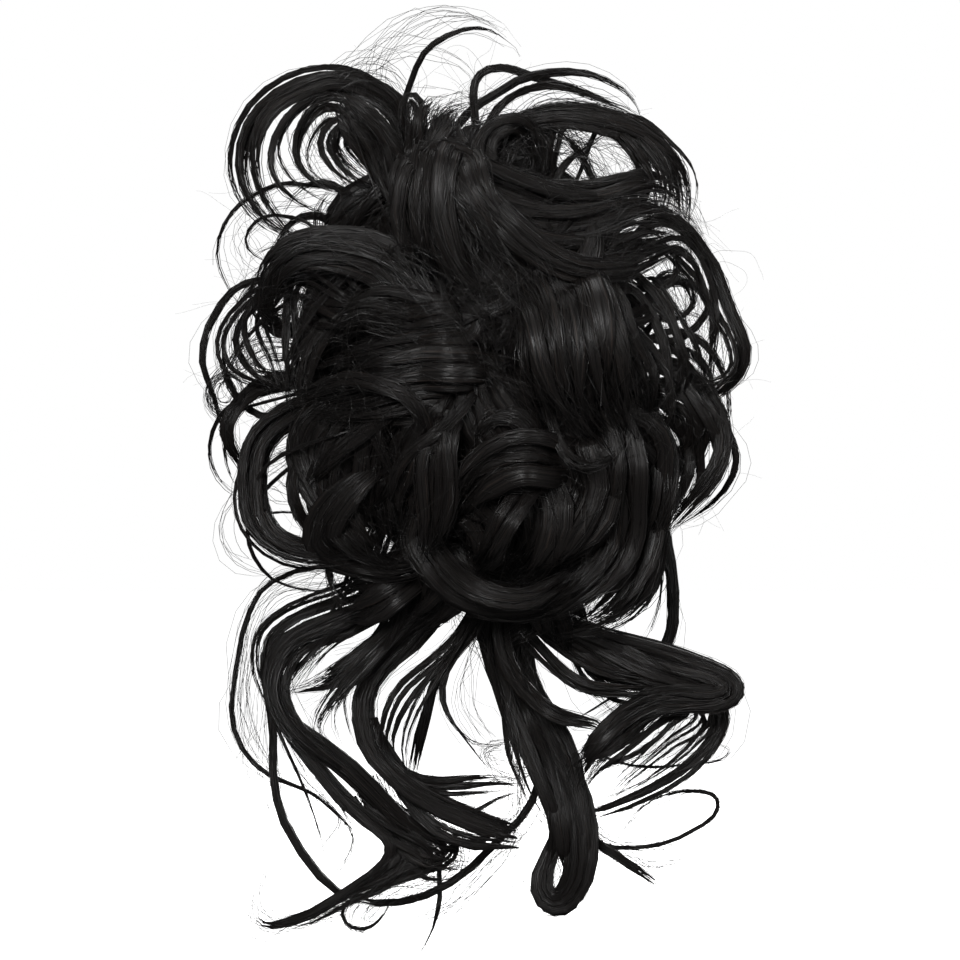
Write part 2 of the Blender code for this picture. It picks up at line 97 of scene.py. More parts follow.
def clearOfCore(points, room):
    # points nearer to the dome than room are moved straight out from its middle, and those beside the
    # straight rim straight out from its axis
    size = coreSize + room
    rays = points + (0, rimFront, 0)
    behind = np.maximum(rays[:, 1:2], 0) * (0, 1, 0)
    rays = rays - behind
    share = np.linalg.norm(rays / size, axis=1)[:, None]
    return rays / np.clip(share, 0.05, 1) + behind - (0, rimFront, 0)


def rootOnDome(point):
    # the place on the dome under a point as seen from the front, and at most at its edge
    out = np.array([point[0], point[2]]) / coreSize[[0, 2]]
    out *= min(1, line["edge"] / max(np.linalg.norm(out), 1e-6))
    front = np.sqrt(1 - out @ out)
    normal = unit(np.array([out[0], -front, out[1]]) / coreSize)
    return np.array([out[0], -front, out[1]]) * coreSize - (0, rimFront, 0), normal


def rootOnRim(point, y):
    # the place on the core's oval side towards a point, at depth y
    out = unit(np.array([point[0], point[2]]) / coreSize[[0, 2]])
    normal = unit(np.array([out[0] / coreSize[0], 0, out[1] / coreSize[2]]))
    return np.array([out[0] * coreSize[0], y, out[1] * coreSize[2]]), normal


def splineThrough(points, count):
    # a natural cubic spline through the points, its parameter the chord length, at even steps
    gaps = np.maximum(np.linalg.norm(np.diff(points, axis=0), axis=1), 1e-5)
    knots = np.concatenate([[0], np.cumsum(gaps)])
    inner = len(points) - 2
    system = np.zeros((inner, inner))
    rows = np.arange(inner)
    system[rows, rows] = 2 * (gaps[:-1] + gaps[1:])
    system[rows[1:], rows[:-1]] = gaps[1:-1]
    system[rows[:-1], rows[1:]] = gaps[1:-1]
    slopes = np.diff(points, axis=0) / gaps[:, None]
    bends = np.zeros_like(points)
    bends[1:-1] = np.linalg.solve(system, 6 * np.diff(slopes, axis=0))
    marks = np.linspace(0, knots[-1], count)
    span = np.clip(np.searchsorted(knots, marks, side="right") - 1, 0, len(gaps) - 1)
    width = gaps[span][:, None]
    ahead = (marks - knots[span])[:, None]
    left = width - ahead
    return (
        (bends[span] * left ** 3 + bends[span + 1] * ahead ** 3) / (6 * width)
        + (points[span] / width - bends[span] * width / 6) * left
        + (points[span + 1] / width - bends[span + 1] * width / 6) * ahead
    )


def softened(points, times):
    # each point moved to the mean of itself and its neighbours, the ends kept
    for _ in range(times):
        middle = (points[:-2] + 2 * points[1:-1] + points[2:]) / 4
        points = np.concatenate([points[:1], middle, points[-1:]])
    return points


def frameAlong(places, facing):
    # direction, outward side and side across at each point. The outward side is as near to facing as it
    # can be, and is a mean over a stretch of the line, so that it turns slowly.
    along = unit(np.gradient(places, axis=0))
    outward = facing - (along * facing).sum(axis=1)[:, None] * along
    stretch = len(places) // 8
    weights = np.hanning(2 * stretch + 1)
    padded = np.pad(outward, ((stretch, stretch), (0, 0)), mode="edge")
    outward = np.stack([np.convolve(padded[:, k], weights, "valid") for k in range(3)], axis=1)
    outward = unit(outward - (outward * along).sum(axis=1)[:, None] * along)
    return along, outward, np.cross(along, outward)


def bunLine(lock):
    # from the dome or the rim, out along its normal, and through the way at the depths that out gives.
    # Far from the middle the depth swings a little, so that no loop is flat.
    way = np.array(lock["way"], float)
    trip = np.concatenate([[0], np.cumsum(np.linalg.norm(np.diff(way, axis=0), axis=1))])
    out = np.interp(trip / trip[-1], np.linspace(0, 1, len(lock["out"])), lock["out"])
    away = eased((np.linalg.norm(way, axis=1) - 0.5) / 0.4)
    out = out + hair["lean"] * away * np.sin(2 * np.pi * trip / trip[-1] + random.uniform(0, 2 * np.pi))
    points = seen(way, -out * bunDepth)
    if out[0] * bunDepth < rimFront + line["rim"]:
        root, normal = rootOnRim(points[0], points[0, 1])
    else:
        root, normal = rootOnDome(points[0])
    gap = np.linalg.norm(points[0] - root)
    if gap > line["rise"]:
        points = np.concatenate([[root, root + normal * min(line["rise"], gap / 2)], points])
    room = lock["width"] * reach * hair["flat"] / 2 + line["room"]
    return softened(clearOfCore(softened(splineThrough(points, line["points"]), 4), room), 6)


def tailLine(lock):
    # from the core's side, or for a branch from its first place inside another lock, down through the
    # way, at the depths that deep gives
    way = np.array(lock["way"], float)
    trip = np.concatenate([[0], np.cumsum(np.linalg.norm(np.diff(way, axis=0), axis=1))])
    deep = np.interp(trip / trip[-1], np.linspace(0, 1, len(lock["deep"])), lock["deep"])
    points = seen(way, deep)
    if not lock.get("branch"):
        root, normal = rootOnRim(points[0], lock["deep"][0])
        gap = np.linalg.norm(points[0] - root)
        points = np.concatenate([[root, root + normal * min(line["rise"], gap / 2)], points])
    return softened(splineThrough(points, line["points"]), 4)


def courses(count, waves=3):
    # for each strand the rates, starts and heights of a few sines, each weaker as it is quicker
    rates = np.arange(1, waves + 1) + random.uniform(-0.45, 0.45, (count, waves))
    starts = random.uniform(0, 2 * np.pi, (count, waves))
    heights = random.normal(0, 1, (count, waves)) / np.arange(1, waves + 1)
    return np.stack([rates, starts, heights])


def swing(course, share):
    # the sum of each strand's sines at its shares of the way
    rates, starts, heights = course[..., None]
    return (heights * np.sin(2 * np.pi * rates * share[:, None, :] + starts)).sum(axis=1)


def lockHairs(lock, spine, facing=(0.0, -1.0, 0.0)):
    # the bodies of the clumps, and hairs round them, along the lock's spine. Each clump keeps its
    # place in the lock and drifts a little, alone or with the others of its strand; each hair keeps its
    # place round its clump and turns slowly about it. Rings are closer where the line bends more, so that
    # chords stay within bow, up to the most rings.
    own = {**hair, **lock}
    along, outward, across = frameAlong(spine, np.broadcast_to(facing, spine.shape))
    steps = np.linalg.norm(np.diff(spine, axis=0), axis=1)
    trip = np.concatenate([[0], np.cumsum(steps)])
    turn = np.linalg.norm(np.gradient(along, axis=0), axis=1) / np.maximum(np.gradient(trip), 1e-6)
    need = np.sqrt(np.maximum(turn, 4) / (8 * hair["bow"]))
    marks = np.concatenate([[0], np.cumsum((need[1:] + need[:-1]) / 2 * steps)])
    rings = int(np.clip(round(marks[-1]), hair["fewestRings"], own["rings"]))
    whole = trip / trip[-1]

    half, flat, loose, tight = own["width"] * reach / 2, own["flat"], own["loose"], own["tight"]
    count = lock.get("hairs", max(4, round(2 * half / hair["pitch"] * own["fill"])))
    clumps = lock.get("clumps", max(1, round(count / hair["perClump"])))
    split = min(lock.get("split", clumps), clumps)
    strand = np.arange(clumps) % split
    spots = ((random.permutation(split) + random.uniform(0.1, 0.9, split)) / split * 2 - 1)[strand]
    heights = (random.uniform(-1, 1, split) * np.sqrt(1 - spots[:split] ** 2))[strand]
    if split < clumps:
        stagger = hair["stagger"]
        spots = spots + random.uniform(-stagger, stagger, clumps) * tight / split
        heights = heights + random.uniform(-stagger, stagger, clumps) * tight / split
    sideCourse, liftCourse = courses(split, 2)[:, strand], courses(split, 2)[:, strand]
    clumpReach = tight * np.sqrt(flat / clumps)

    def stepsTo(ends):
        # the shares of the way at even steps of the marks, up to each strand's end
        return np.interp(np.interp(ends, whole, marks)[:, None] * np.linspace(0, 1, rings + 1), marks, whole)

    def widthAt(share):
        # half the lock's width, which eases in from its root and out to its tip
        wide = half * (own["rootWidth"] + (1 - own["rootWidth"]) * eased(share / 0.25))
        return wide * (1 - (1 - own["tip"]) * eased((share - 0.65) / 0.35))

    def clumpAt(rows, share):
        # how far across and out from the spine the clumps' middles are, in half widths
        sway = spots[rows, None] + swing(sideCourse[:, rows], share) * loose * hair["sway"]
        return sway, flat * (heights[rows, None] + swing(liftCourse[:, rows], share) * loose * hair["sway"])

    def group(share, sideways, lifted, radius, sides, streaks, number=0, form=(1, 1)):
        # strands of one kind, each moved sideways and outwards from the spine. Form flattens them, and
        # number is added to their own numbers.
        def at(values):
            return np.stack([np.interp(share, whole, values[:, k]) for k in range(3)], axis=-1)

        acrossHere, outwardHere = at(across), at(outward)
        places = at(spine) + acrossHere * sideways[..., None] + outwardHere * lifted[..., None]
        return {"places": places, "across": acrossHere * form[0], "outward": outwardHere * form[1],
                "radius": radius, "share": share, "sides": sides, "streaks": streaks, "number": number}

    # a lock with a number of hairs of its own has no bodies, unless it says how many clumps it has
    groups = []
    if "hairs" not in lock or "clumps" in lock:
        ends = 1 - own["ragged"] * random.uniform(0.2, 1, clumps)
        share = stepsTo(ends)
        wide = widthAt(share)
        sway, rise = clumpAt(np.arange(clumps), share)
        radius = own["body"] * clumpReach * wide * (0.4 + 0.6 * eased(share / 0.1))
        radius = radius * random.uniform(0.55, 1.35, clumps)[:, None]
        thinning = eased((share / ends[:, None] - own["full"]) / (1.01 - own["full"]))
        radius = radius * (1 - thinning) + hair["bodyTip"]
        form = (hair["bodyAcross"], hair["bodyOutward"])
        sides, streaks = hair["bodySides"], hairLook["bodyStreaks"]
        groups.append(group(share, wide * sway, wide * rise, radius, sides, streaks, 2, form))

    member = random.integers(0, clumps, count)
    share = stepsTo(1 - own["ragged"] * random.uniform(0, 1, count) ** 1.5)
    wide = widthAt(share)
    sway, rise = clumpAt(member, share)
    angle = random.uniform(0, 2 * np.pi, count)[:, None] + hair["twist"] * swing(courses(count, 2), share)
    beside = clumpReach * random.uniform(0.7, 1.3, count)[:, None]
    wanderer = (random.uniform(0, 1, count) < hair["wanderers"])[:, None]
    beside = beside + 0.30 * tight * wanderer * swing(courses(count, 2), share)
    stray = (random.uniform(0, 1, count) < own["strays"])[:, None]
    drift = (0.0012 + half * 0.8) * share * stray
    sideways = wide * (sway + beside * 1.4 * np.cos(angle)) + drift * swing(courses(count, 3), share)
    lifted = wide * (rise + beside * 0.6 * np.sin(angle)) + drift * swing(courses(count, 3), share)
    radius = np.where(stray, hair["fine"], own["thick"]) / 2
    radius = radius * random.uniform(0.8, 1.15, count)[:, None] * (1 - 0.6 * eased((share - 0.75) / 0.25))
    return groups + [group(share, sideways, lifted, radius, 3, hairLook["hairStreaks"])]


def hairMesh(name, groups, finish):
    # a closed tube along each strand. Its UV map holds the share of the length, and the strand's own
    # number plus a little round the tube, for the streaks.
    vertices, corners, starts, coordinates = [], [], [], []
    base, corner = 0, 0
    for group in groups:
        strands, rings = group["share"].shape
        sides = group["sides"]
        angles = 2 * np.pi * (np.arange(sides) + 0.25) / sides
        offset = np.cos(angles)[:, None] * group["across"][:, :, None]
        offset = offset + np.sin(angles)[:, None] * group["outward"][:, :, None]
        tube = group["places"][:, :, None] + group["radius"][:, :, None, None] * offset
        vertices.append(tube.reshape(-1, 3))
        number = base + np.arange(strands * rings * sides).reshape(strands, rings, sides)
        after = np.roll(number, -1, axis=2)
        walls = np.stack([number[:, :-1], number[:, 1:], after[:, 1:], after[:, :-1]], axis=-1)
        walls = walls.reshape(-1, 4)
        corners += [walls.ravel(), number[:, 0].ravel(), number[:, -1, ::-1].ravel()]
        starts.append(corner + 4 * np.arange(len(walls)))
        corner += 4 * len(walls)
        starts.append(corner + sides * np.arange(2 * strands))
        corner += 2 * strands * sides
        lot = random.uniform(0, 1, strands)[:, None, None] + group["number"]
        share = np.repeat(group["share"][:, :, None], sides, axis=2)
        near = np.broadcast_to(lot + group["streaks"] * np.arange(sides) / sides, share.shape)
        far = near + group["streaks"] / sides
        onWall = [(share[:, :-1], near[:, :-1]), (share[:, 1:], near[:, 1:]),
                  (share[:, 1:], far[:, 1:]), (share[:, :-1], far[:, :-1])]
        coordinates.append(np.stack([np.stack(pair, axis=-1) for pair in onWall], axis=-2).reshape(-1, 2))
        coordinates.append(np.stack([share[:, 0], near[:, 0]], axis=-1).reshape(-1, 2))
        coordinates.append(np.stack([share[:, -1], near[:, -1]], axis=-1).reshape(-1, 2))
        base += strands * rings * sides
    vertices, corners = np.concatenate(vertices), np.concatenate(corners)
    mesh = bpy.data.meshes.new(name)
    mesh.vertices.add(len(vertices))
    mesh.vertices.foreach_set("co", vertices.astype(np.float32).ravel())
    mesh.loops.add(len(corners))
    mesh.loops.foreach_set("vertex_index", corners.astype(np.int32))
    starts = np.concatenate(starts)
    mesh.polygons.add(len(starts))
    mesh.polygons.foreach_set("loop_start", starts.astype(np.int32))
    mesh.update(calc_edges=True)
    uv = mesh.uv_layers.new(name="strand")
    uv.data.foreach_set("uv", np.concatenate(coordinates).astype(np.float32).ravel())
    mesh.shade_smooth()
    return newPiece(name, mesh, finish)


def newPiece(name, mesh, finish):
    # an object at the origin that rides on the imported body
    piece = bpy.data.objects.new(name, mesh)
    bpy.context.scene.collection.objects.link(piece)
    mesh.materials.append(finish)
    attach(piece, "root")
    print("made", name)
    return piece


def shaderOf(name, roughness, specular=0.5):
    # a new material, its nodes, its links and its shader, with what is the same all over set on it
    made = bpy.data.materials.new(name)
    made.use_nodes = True
    nodes, links = made.node_tree.nodes, made.node_tree.links
    shader = nodes["Principled BSDF"]
    shader.inputs["Roughness"].default_value = roughness
    shader.inputs["Specular IOR Level"].default_value = specular
    return made, nodes, links, shader


def ramp(nodes, stops):
    # a colour ramp with (place, colour) stops
    made = nodes.new("ShaderNodeValToRGB")
    elements = made.color_ramp.elements
    for element, (place, colour) in zip(elements, (stops[0], stops[-1])):
        element.position, element.color = place, (*colour, 1)
    for place, colour in stops[1:-1]:
        elements.new(place).color = (*colour, 1)
    return made


def hairFinish():
    # black fibre, some of it browner. A noise that is long in the share of a strand's length and fine in
    # its number gives streaks, which change its colour and gloss and raise a grain. Numbers from 2 up are
    # the clumps' bodies, and shine less.
    made, nodes, links, shader = shaderOf("blackFibre", 0.38)
    uv = nodes.new("ShaderNodeUVMap")
    uv.uv_map = "strand"
    stretch = nodes.new("ShaderNodeMapping")
    stretch.inputs["Scale"].default_value = (2.5, 260, 1)
    links.new(uv.outputs["UV"], stretch.inputs["Vector"])
    streaks = nodes.new("ShaderNodeTexNoise")
    streaks.inputs["Scale"].default_value = 1.0
    streaks.inputs["Detail"].default_value = 2
    links.new(stretch.outputs["Vector"], streaks.inputs["Vector"])
    look = hairLook
    tint = ramp(nodes, [(0.34, look["darkest"]), (0.48, look["usual"]),
                        (0.60, look["usual"]), (0.74, look["brownest"])])
    links.new(streaks.outputs["Fac"], tint.inputs["Fac"])
    links.new(tint.outputs["Color"], shader.inputs["Base Color"])
    gloss = nodes.new("ShaderNodeMapRange")
    gloss.inputs["From Min"].default_value = 0.3
    gloss.inputs["From Max"].default_value = 0.7
    gloss.inputs["To Min"].default_value = look["smoothest"]
    gloss.inputs["To Max"].default_value = look["roughest"]
    links.new(streaks.outputs["Fac"], gloss.inputs["Value"])
    links.new(gloss.outputs["Result"], shader.inputs["Roughness"])
    apart = nodes.new("ShaderNodeSeparateXYZ")
    links.new(uv.outputs["UV"], apart.inputs["Vector"])
    shine = nodes.new("ShaderNodeMapRange")
    shine.inputs["From Min"].default_value = 1.2
    shine.inputs["From Max"].default_value = 1.8
    shine.inputs["To Min"].default_value = look["hairShine"]
    shine.inputs["To Max"].default_value = look["bodyShine"]
    links.new(apart.outputs["Y"], shine.inputs["Value"])
    links.new(shine.outputs["Result"], shader.inputs["Specular IOR Level"])
    bump = nodes.new("ShaderNodeBump")
    bump.inputs["Distance"].default_value = 0.0005
    links.new(streaks.outputs["Fac"], bump.inputs["Height"])
    links.new(bump.outputs["Normal"], shader.inputs["Normal"])
    return made


def coreFinish():
    # combed fibre that runs outwards from the loop: a noise that is fine round the axis and long along
    # the rays from it, as colour and as bump
    made, nodes, links, shader = shaderOf("combedFibre", 0.5)
    place = nodes.new("ShaderNodeTexCoord")
    apart = nodes.new("ShaderNodeSeparateXYZ")
    links.new(place.outputs["Object"], apart.inputs["Vector"])
    turn = nodes.new("ShaderNodeMath")
    turn.operation = "ARCTAN2"
    links.new(apart.outputs["Z"], turn.inputs[0])
    links.new(apart.outputs["X"], turn.inputs[1])
    polar = nodes.new("ShaderNodeCombineXYZ")
    links.new(turn.outputs[0], polar.inputs["X"])
    links.new(apart.outputs["Y"], polar.inputs["Y"])
    stretch = nodes.new("ShaderNodeMapping")
    stretch.inputs["Scale"].default_value = (60, 90, 1)
    links.new(polar.outputs["Vector"], stretch.inputs["Vector"])
    grain = nodes.new("ShaderNodeTexNoise")
    grain.inputs["Scale"].default_value = 1.0
    grain.inputs["Detail"].default_value = 6
    links.new(stretch.outputs["Vector"], grain.inputs["Vector"])
    tint = ramp(nodes, [(0.3, hairLook["darkest"]), (0.7, hairLook["usual"])])
    links.new(grain.outputs["Fac"], tint.inputs["Fac"])
    links.new(tint.outputs["Color"], shader.inputs["Base Color"])
    bump = nodes.new("ShaderNodeBump")
    bump.inputs["Distance"].default_value = 0.0008
    links.new(grain.outputs["Fac"], bump.inputs["Height"])
    links.new(bump.outputs["Normal"], shader.inputs["Normal"])
    return made


fibre = hairFinish()
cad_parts["bun_core"].data.materials.clear()
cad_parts["bun_core"].data.materials.append(coreFinish())



def curl(width, out, way, **habits):
    # a lock of the bun. Its width is in reaches, and out is how far in front of the loop's plane it lies,
    # from its root to its tip, in bun depths. Habits go before the values in hair.
    return {"width": width, "out": out, "way": way, **habits}


def tendril(width, way, **habits):
    # a hanging lock, or a branch that starts inside another. Its depths come from its node's box.
    return {"width": width, "way": way, **habits}


upperLeft = [
    curl(.014, (.4, .34, .26), [(-.27, .72), (-.285, .85), (-.265, .97), (-.24, 1.04), (-.2, 1.12),
         (-.12, 1.18), (-.02, 1.21), (.05, 1.2), (.11, 1.16), (.15, 1.12), (.155, 1.08)]),
    curl(.07, (.4, .3), [(-.27, .78), (-.33, .92), (-.345, 1.03), (-.31, 1.12), (-.24, 1.19), (-.15, 1.235),
         (-.05, 1.245), (.04, 1.22), (.11, 1.17)], hairs=9, thick=.00014, loose=.9, strays=0),
    curl(.1, (.4, .34), [(-.55, .98), (-.5, 1.06), (-.42, 1.14), (-.31, 1.21), (-.18, 1.255), (-.05, 1.25),
         (.06, 1.2), (.13, 1.12)], hairs=7, thick=.00013, loose=1, strays=0),
    curl(.05, (.4, .34), [(-.4, 1.02), (-.29, 1.09), (-.18, 1.1), (-.08, 1.07), (-.01, 1), (.02, .9)],
         hairs=5, thick=.00014, loose=.9, strays=0),
    curl(.046, (.4, .38, .44), [(-.26, .8), (-.293, .946), (-.38, 1), (-.455, 1.03), (-.543, 1.035),
         (-.62, 1.02), (-.7, .985), (-.78, .925), (-.835, .85), (-.865, .757), (-.868, .68), (-.845, .6),
         (-.8, .53), (-.74, .48), (-.66, .44), (-.55, .4)], tight=1, split=5, loose=1, fill=3),
    curl(.036, (.46, .46, .5), [(-.24, .82), (-.33, .94), (-.43, .99), (-.543, 1.007), (-.64, .97),
         (-.72, .93), (-.78, .86), (-.81, .757), (-.8, .67), (-.77, .59), (-.73, .53), (-.66, .45),
         (-.55, .4)], tight=1, split=4, loose=1, fill=3),
    curl(.022, (.5, .5, .5), [(-.3, .86), (-.48, .98), (-.62, .95), (-.7, .88), (-.75, .78), (-.755, .7),
         (-.733, .645), (-.666, .578), (-.588, .534), (-.51, .512), (-.42, .5)]),
    curl(.012, (.52, .52, .48), [(-.32, .84), (-.5, .96), (-.63, .92), (-.7, .84), (-.727, .757),
         (-.7, .69), (-.649, .634), (-.588, .595), (-.52, .562), (-.42, .54)]),
    curl(.006, (.54, .52), [(-.6, .96), (-.66, .9), (-.695, .83), (-.68, .76), (-.62, .7)], hairs=3),
    curl(.13, (.62, .62, .58), [(-.1, .5), (-.2, .58), (-.28, .66), (-.35, .755), (-.41, .84), (-.47, .915),
         (-.52, .965)], loose=.3, tip=.6, full=.85, ragged=.22),
    curl(.07, (.54, .54, .52), [(-.4, .8), (-.48, .89), (-.555, .905), (-.61, .86), (-.645, .79),
         (-.645, .715), (-.6, .655), (-.52, .618), (-.42, .6)], split=6, tight=.5, loose=1.3, fill=2),
    curl(.07, (.56, .54), [(-.42, .84), (-.51, .85), (-.55, .8), (-.53, .73), (-.47, .67), (-.38, .62),
         (-.3, .58)], split=6, tight=.5, loose=1.4, fill=1.8),
    curl(.05, (.5, .52), [(-.46, .88), (-.5, .8), (-.47, .73), (-.41, .68), (-.33, .63)], split=3, tight=.5,
         loose=.6),
    curl(.16, (.48, .46, .5), [(-.14, .6), (-.26, .6), (-.38, .57), (-.48, .5), (-.56, .4)], loose=.5),
    curl(.12, (.58, .54, .5), [(-.12, .66), (-.22, .62), (-.33, .56), (-.42, .48), (-.48, .4)], loose=.5),
    curl(.034, (.56, .58, .54), [(-.18, .66), (-.2, .78), (-.212, .88), (-.225, .94), (-.245, .955),
         (-.262, .93), (-.266, .87), (-.262, .79), (-.25, .7)], tip=.7),
    curl(.1, (.74, .64, .5), [(-.14, .6), (-.14, .74), (-.12, .84), (-.07, .905), (0, .93)], loose=.9,
         ragged=.5),
    curl(.09, (.7, .6, .48), [(-.2, .62), (-.21, .76), (-.2, .86), (-.16, .92), (-.1, .945)], loose=.9,
         ragged=.5),
    curl(.08, (.66, .56, .46), [(-.04, .66), (-.02, .78), (.03, .86), (.09, .89), (.14, .87)], loose=1,
         ragged=.5),
    curl(.16, (.7, .56, .44), [(-.16, .62), (-.15, .78), (-.1, .88), (-.02, .93), (.08, .93)], hairs=40,
         thick=.00016, loose=1.3, ragged=.5),
    curl(.09, (.44, .4), [(-.6, .9), (-.53, 1), (-.44, 1.06), (-.35, 1.06), (-.28, 1), (-.25, .92),
         (-.22, .84)], hairs=14, thick=.00016, loose=.8),
    curl(.014, (.36, .34, .3), [(-.46, .6), (-.6, .625), (-.7, .635), (-.78, .61), (-.86, .565),
         (-.92, .49), (-.945, .41), (-.94, .34), (-.915, .28), (-.87, .21), (-.8, .16)]),
    curl(.012, (.4, .36), [(-.6, .48), (-.7, .52), (-.805, .5), (-.838, .456), (-.838, .41), (-.805, .378),
         (-.74, .34)]),
    curl(.09, (.38, .34), [(-.5, .6), (-.62, .58), (-.76, .54), (-.84, .44), (-.8, .36), (-.7, .32)],
         hairs=8, thick=.00014, loose=1),
]

left = [
    curl(.12, (.86, .8, .66, .52), [(-.1, .02), (-.18, .16), (-.26, .28), (-.36, .37), (-.48, .405),
         (-.58, .41), (-.67, .39), (-.74, .34), (-.78, .26), (-.785, .18), (-.74, .13)], tip=.3),
    curl(.05, (.5, .5, .46), [(-.5, .4), (-.62, .37), (-.72, .33), (-.775, .25), (-.76, .18), (-.71, .16),
         (-.66, .2), (-.62, .26)]),
    curl(.03, (.38, .38, .36, .4), [(-.6, .36), (-.72, .3), (-.8, .287), (-.896, .244), (-.951, .172),
         (-.985, .105), (-1, .04), (-1, -.021), (-.98, -.076), (-.955, -.142), (-.94, -.22), (-.89, -.32),
         (-.84, -.4)], tight=.7),
    curl(.03, (.42, .4, .42), [(-.6, .34), (-.72, .28), (-.807, .244), (-.866, .196), (-.915, .136),
         (-.939, .069), (-.933, .009), (-.905, -.04), (-.848, -.075), (-.776, -.1), (-.7, -.12),
         (-.58, -.12)], tight=.7),
    curl(.025, (.46, .44, .46), [(-.62, .3), (-.75, .23), (-.812, .196), (-.866, .136), (-.884, .069),
         (-.86, .004), (-.807, -.057), (-.73, -.1), (-.62, -.14)], tight=.7),
    curl(.04, (.48, .46), [(-.66, .3), (-.76, .2), (-.79, .14), (-.765, .05), (-.735, -.03), (-.71, -.1),
         (-.66, -.16)], loose=.8, tight=.5),
    curl(.13, (.54, .5, .5), [(-.46, .36), (-.56, .36), (-.635, .3), (-.655, .2), (-.645, .08),
         (-.635, -.04), (-.6, -.14), (-.52, -.18)], split=5, tight=.4, loose=.8, fill=1.3),
    curl(.1, (.68, .6, .56), [(-.26, .24), (-.36, .29), (-.444, .269), (-.535, .172), (-.6, .087),
         (-.64, .009), (-.66, -.08), (-.66, -.16), (-.6, -.24)], split=4, tight=.5, loose=.6, fill=1.5),
    curl(.03, (.44, .4), [(-.8, .05), (-.9, -.03), (-.965, -.1), (-.95, -.17), (-.89, -.17), (-.87, -.11),
         (-.91, -.06), (-.97, -.09), (-.97, -.16), (-.9, -.22)], hairs=14, thick=.0002, loose=1),
    curl(.02, (.42, .38), [(-.78, 0), (-.86, -.05), (-.93, -.06), (-.985, -.13), (-.95, -.2), (-.88, -.21),
         (-.84, -.15), (-.86, -.08)], hairs=9, thick=.0002, loose=1),
    curl(.05, (.46, .4, .4), [(-.66, -.06), (-.78, -.09), (-.87, -.16), (-.915, -.25), (-.885, -.34),
         (-.84, -.41), (-.8, -.48)], loose=.5),
    curl(.18, (.58, .5, .42), [(-.5, .3), (-.66, .27), (-.78, .19), (-.84, .06), (-.82, -.1), (-.72, -.22)],
         hairs=32, thick=.00014, strays=0),
    curl(.014, (.36, .34, .36), [(-.78, -.12), (-.9, -.16), (-.951, -.218), (-.975, -.278), (-.982, -.332),
         (-.969, -.393), (-.939, -.447), (-.891, -.489), (-.83, -.53)]),
    curl(.01, (.38, .36), [(-.8, -.16), (-.89, -.21), (-.918, -.278), (-.92, -.338), (-.909, -.393),
         (-.884, -.447), (-.84, -.5)]),
]

lowerLeft = [
    curl(.085, (.54, .5, .48, .52), [(-.62, -.18), (-.73, -.24), (-.79, -.31), (-.81, -.39), (-.812, -.477),
         (-.798, -.567), (-.758, -.638), (-.69, -.682), (-.61, -.705), (-.52, -.71), (-.43, -.7),
         (-.33, -.69), (-.22, -.66)], tight=.9),
    curl(.03, (.46, .44, .46), [(-.7, -.24), (-.8, -.32), (-.85, -.4), (-.872, -.48), (-.866, -.56),
         (-.835, -.63), (-.775, -.69), (-.7, -.73), (-.62, -.745), (-.53, -.745), (-.44, -.735),
         (-.34, -.71)], tight=.6),
    curl(.012, (.48, .48), [(-.8, -.5), (-.77, -.549), (-.7, -.553), (-.637, -.56), (-.56, -.55)]),
    curl(.05, (.46, .46), [(-.8, -.44), (-.74, -.47), (-.68, -.49), (-.6, -.5)], hairs=6, thick=.00014,
         loose=1),
    curl(.03, (.56, .52), [(-.58, -.28), (-.65, -.36), (-.668, -.447), (-.655, -.519), (-.617, -.586),
         (-.568, -.65), (-.51, -.7), (-.42, -.74)]),
    curl(.13, (.66, .6, .56), [(-.48, -.14), (-.58, -.23), (-.625, -.356), (-.577, -.459), (-.517, -.556),
         (-.468, -.628), (-.4, -.7), (-.3, -.76)], loose=.35),
    curl(.04, (.6, .58), [(-.56, -.34), (-.61, -.42), (-.605, -.51), (-.57, -.59), (-.52, -.66),
         (-.46, -.7)], loose=.9, tight=.4),
    curl(.1, (.76, .66, .6), [(-.28, -.12), (-.38, -.19), (-.466, -.27), (-.515, -.356), (-.53, -.45),
         (-.5, -.54), (-.44, -.62), (-.36, -.68)], loose=.4),
    curl(.09, (.56, .54), [(-.56, -.66), (-.46, -.72), (-.36, -.745), (-.25, -.75), (-.16, -.72),
         (-.08, -.66)], loose=.3),
    curl(.01, (.4, .36), [(-.74, -.44), (-.82, -.54), (-.836, -.646), (-.818, -.706), (-.788, -.755),
         (-.746, -.796), (-.685, -.821), (-.625, -.836), (-.535, -.836), (-.44, -.8)]),
    curl(.05, (.36, .34), [(-.76, -.4), (-.88, -.5), (-.915, -.592), (-.903, -.658), (-.866, -.712),
         (-.806, -.748), (-.73, -.77), (-.66, -.755)], hairs=7, thick=.00014, loose=1),
    curl(.03, (.5, .46), [(-.5, -.6), (-.54, -.7), (-.547, -.76), (-.535, -.82), (-.51, -.88),
         (-.46, -.93)]),
]

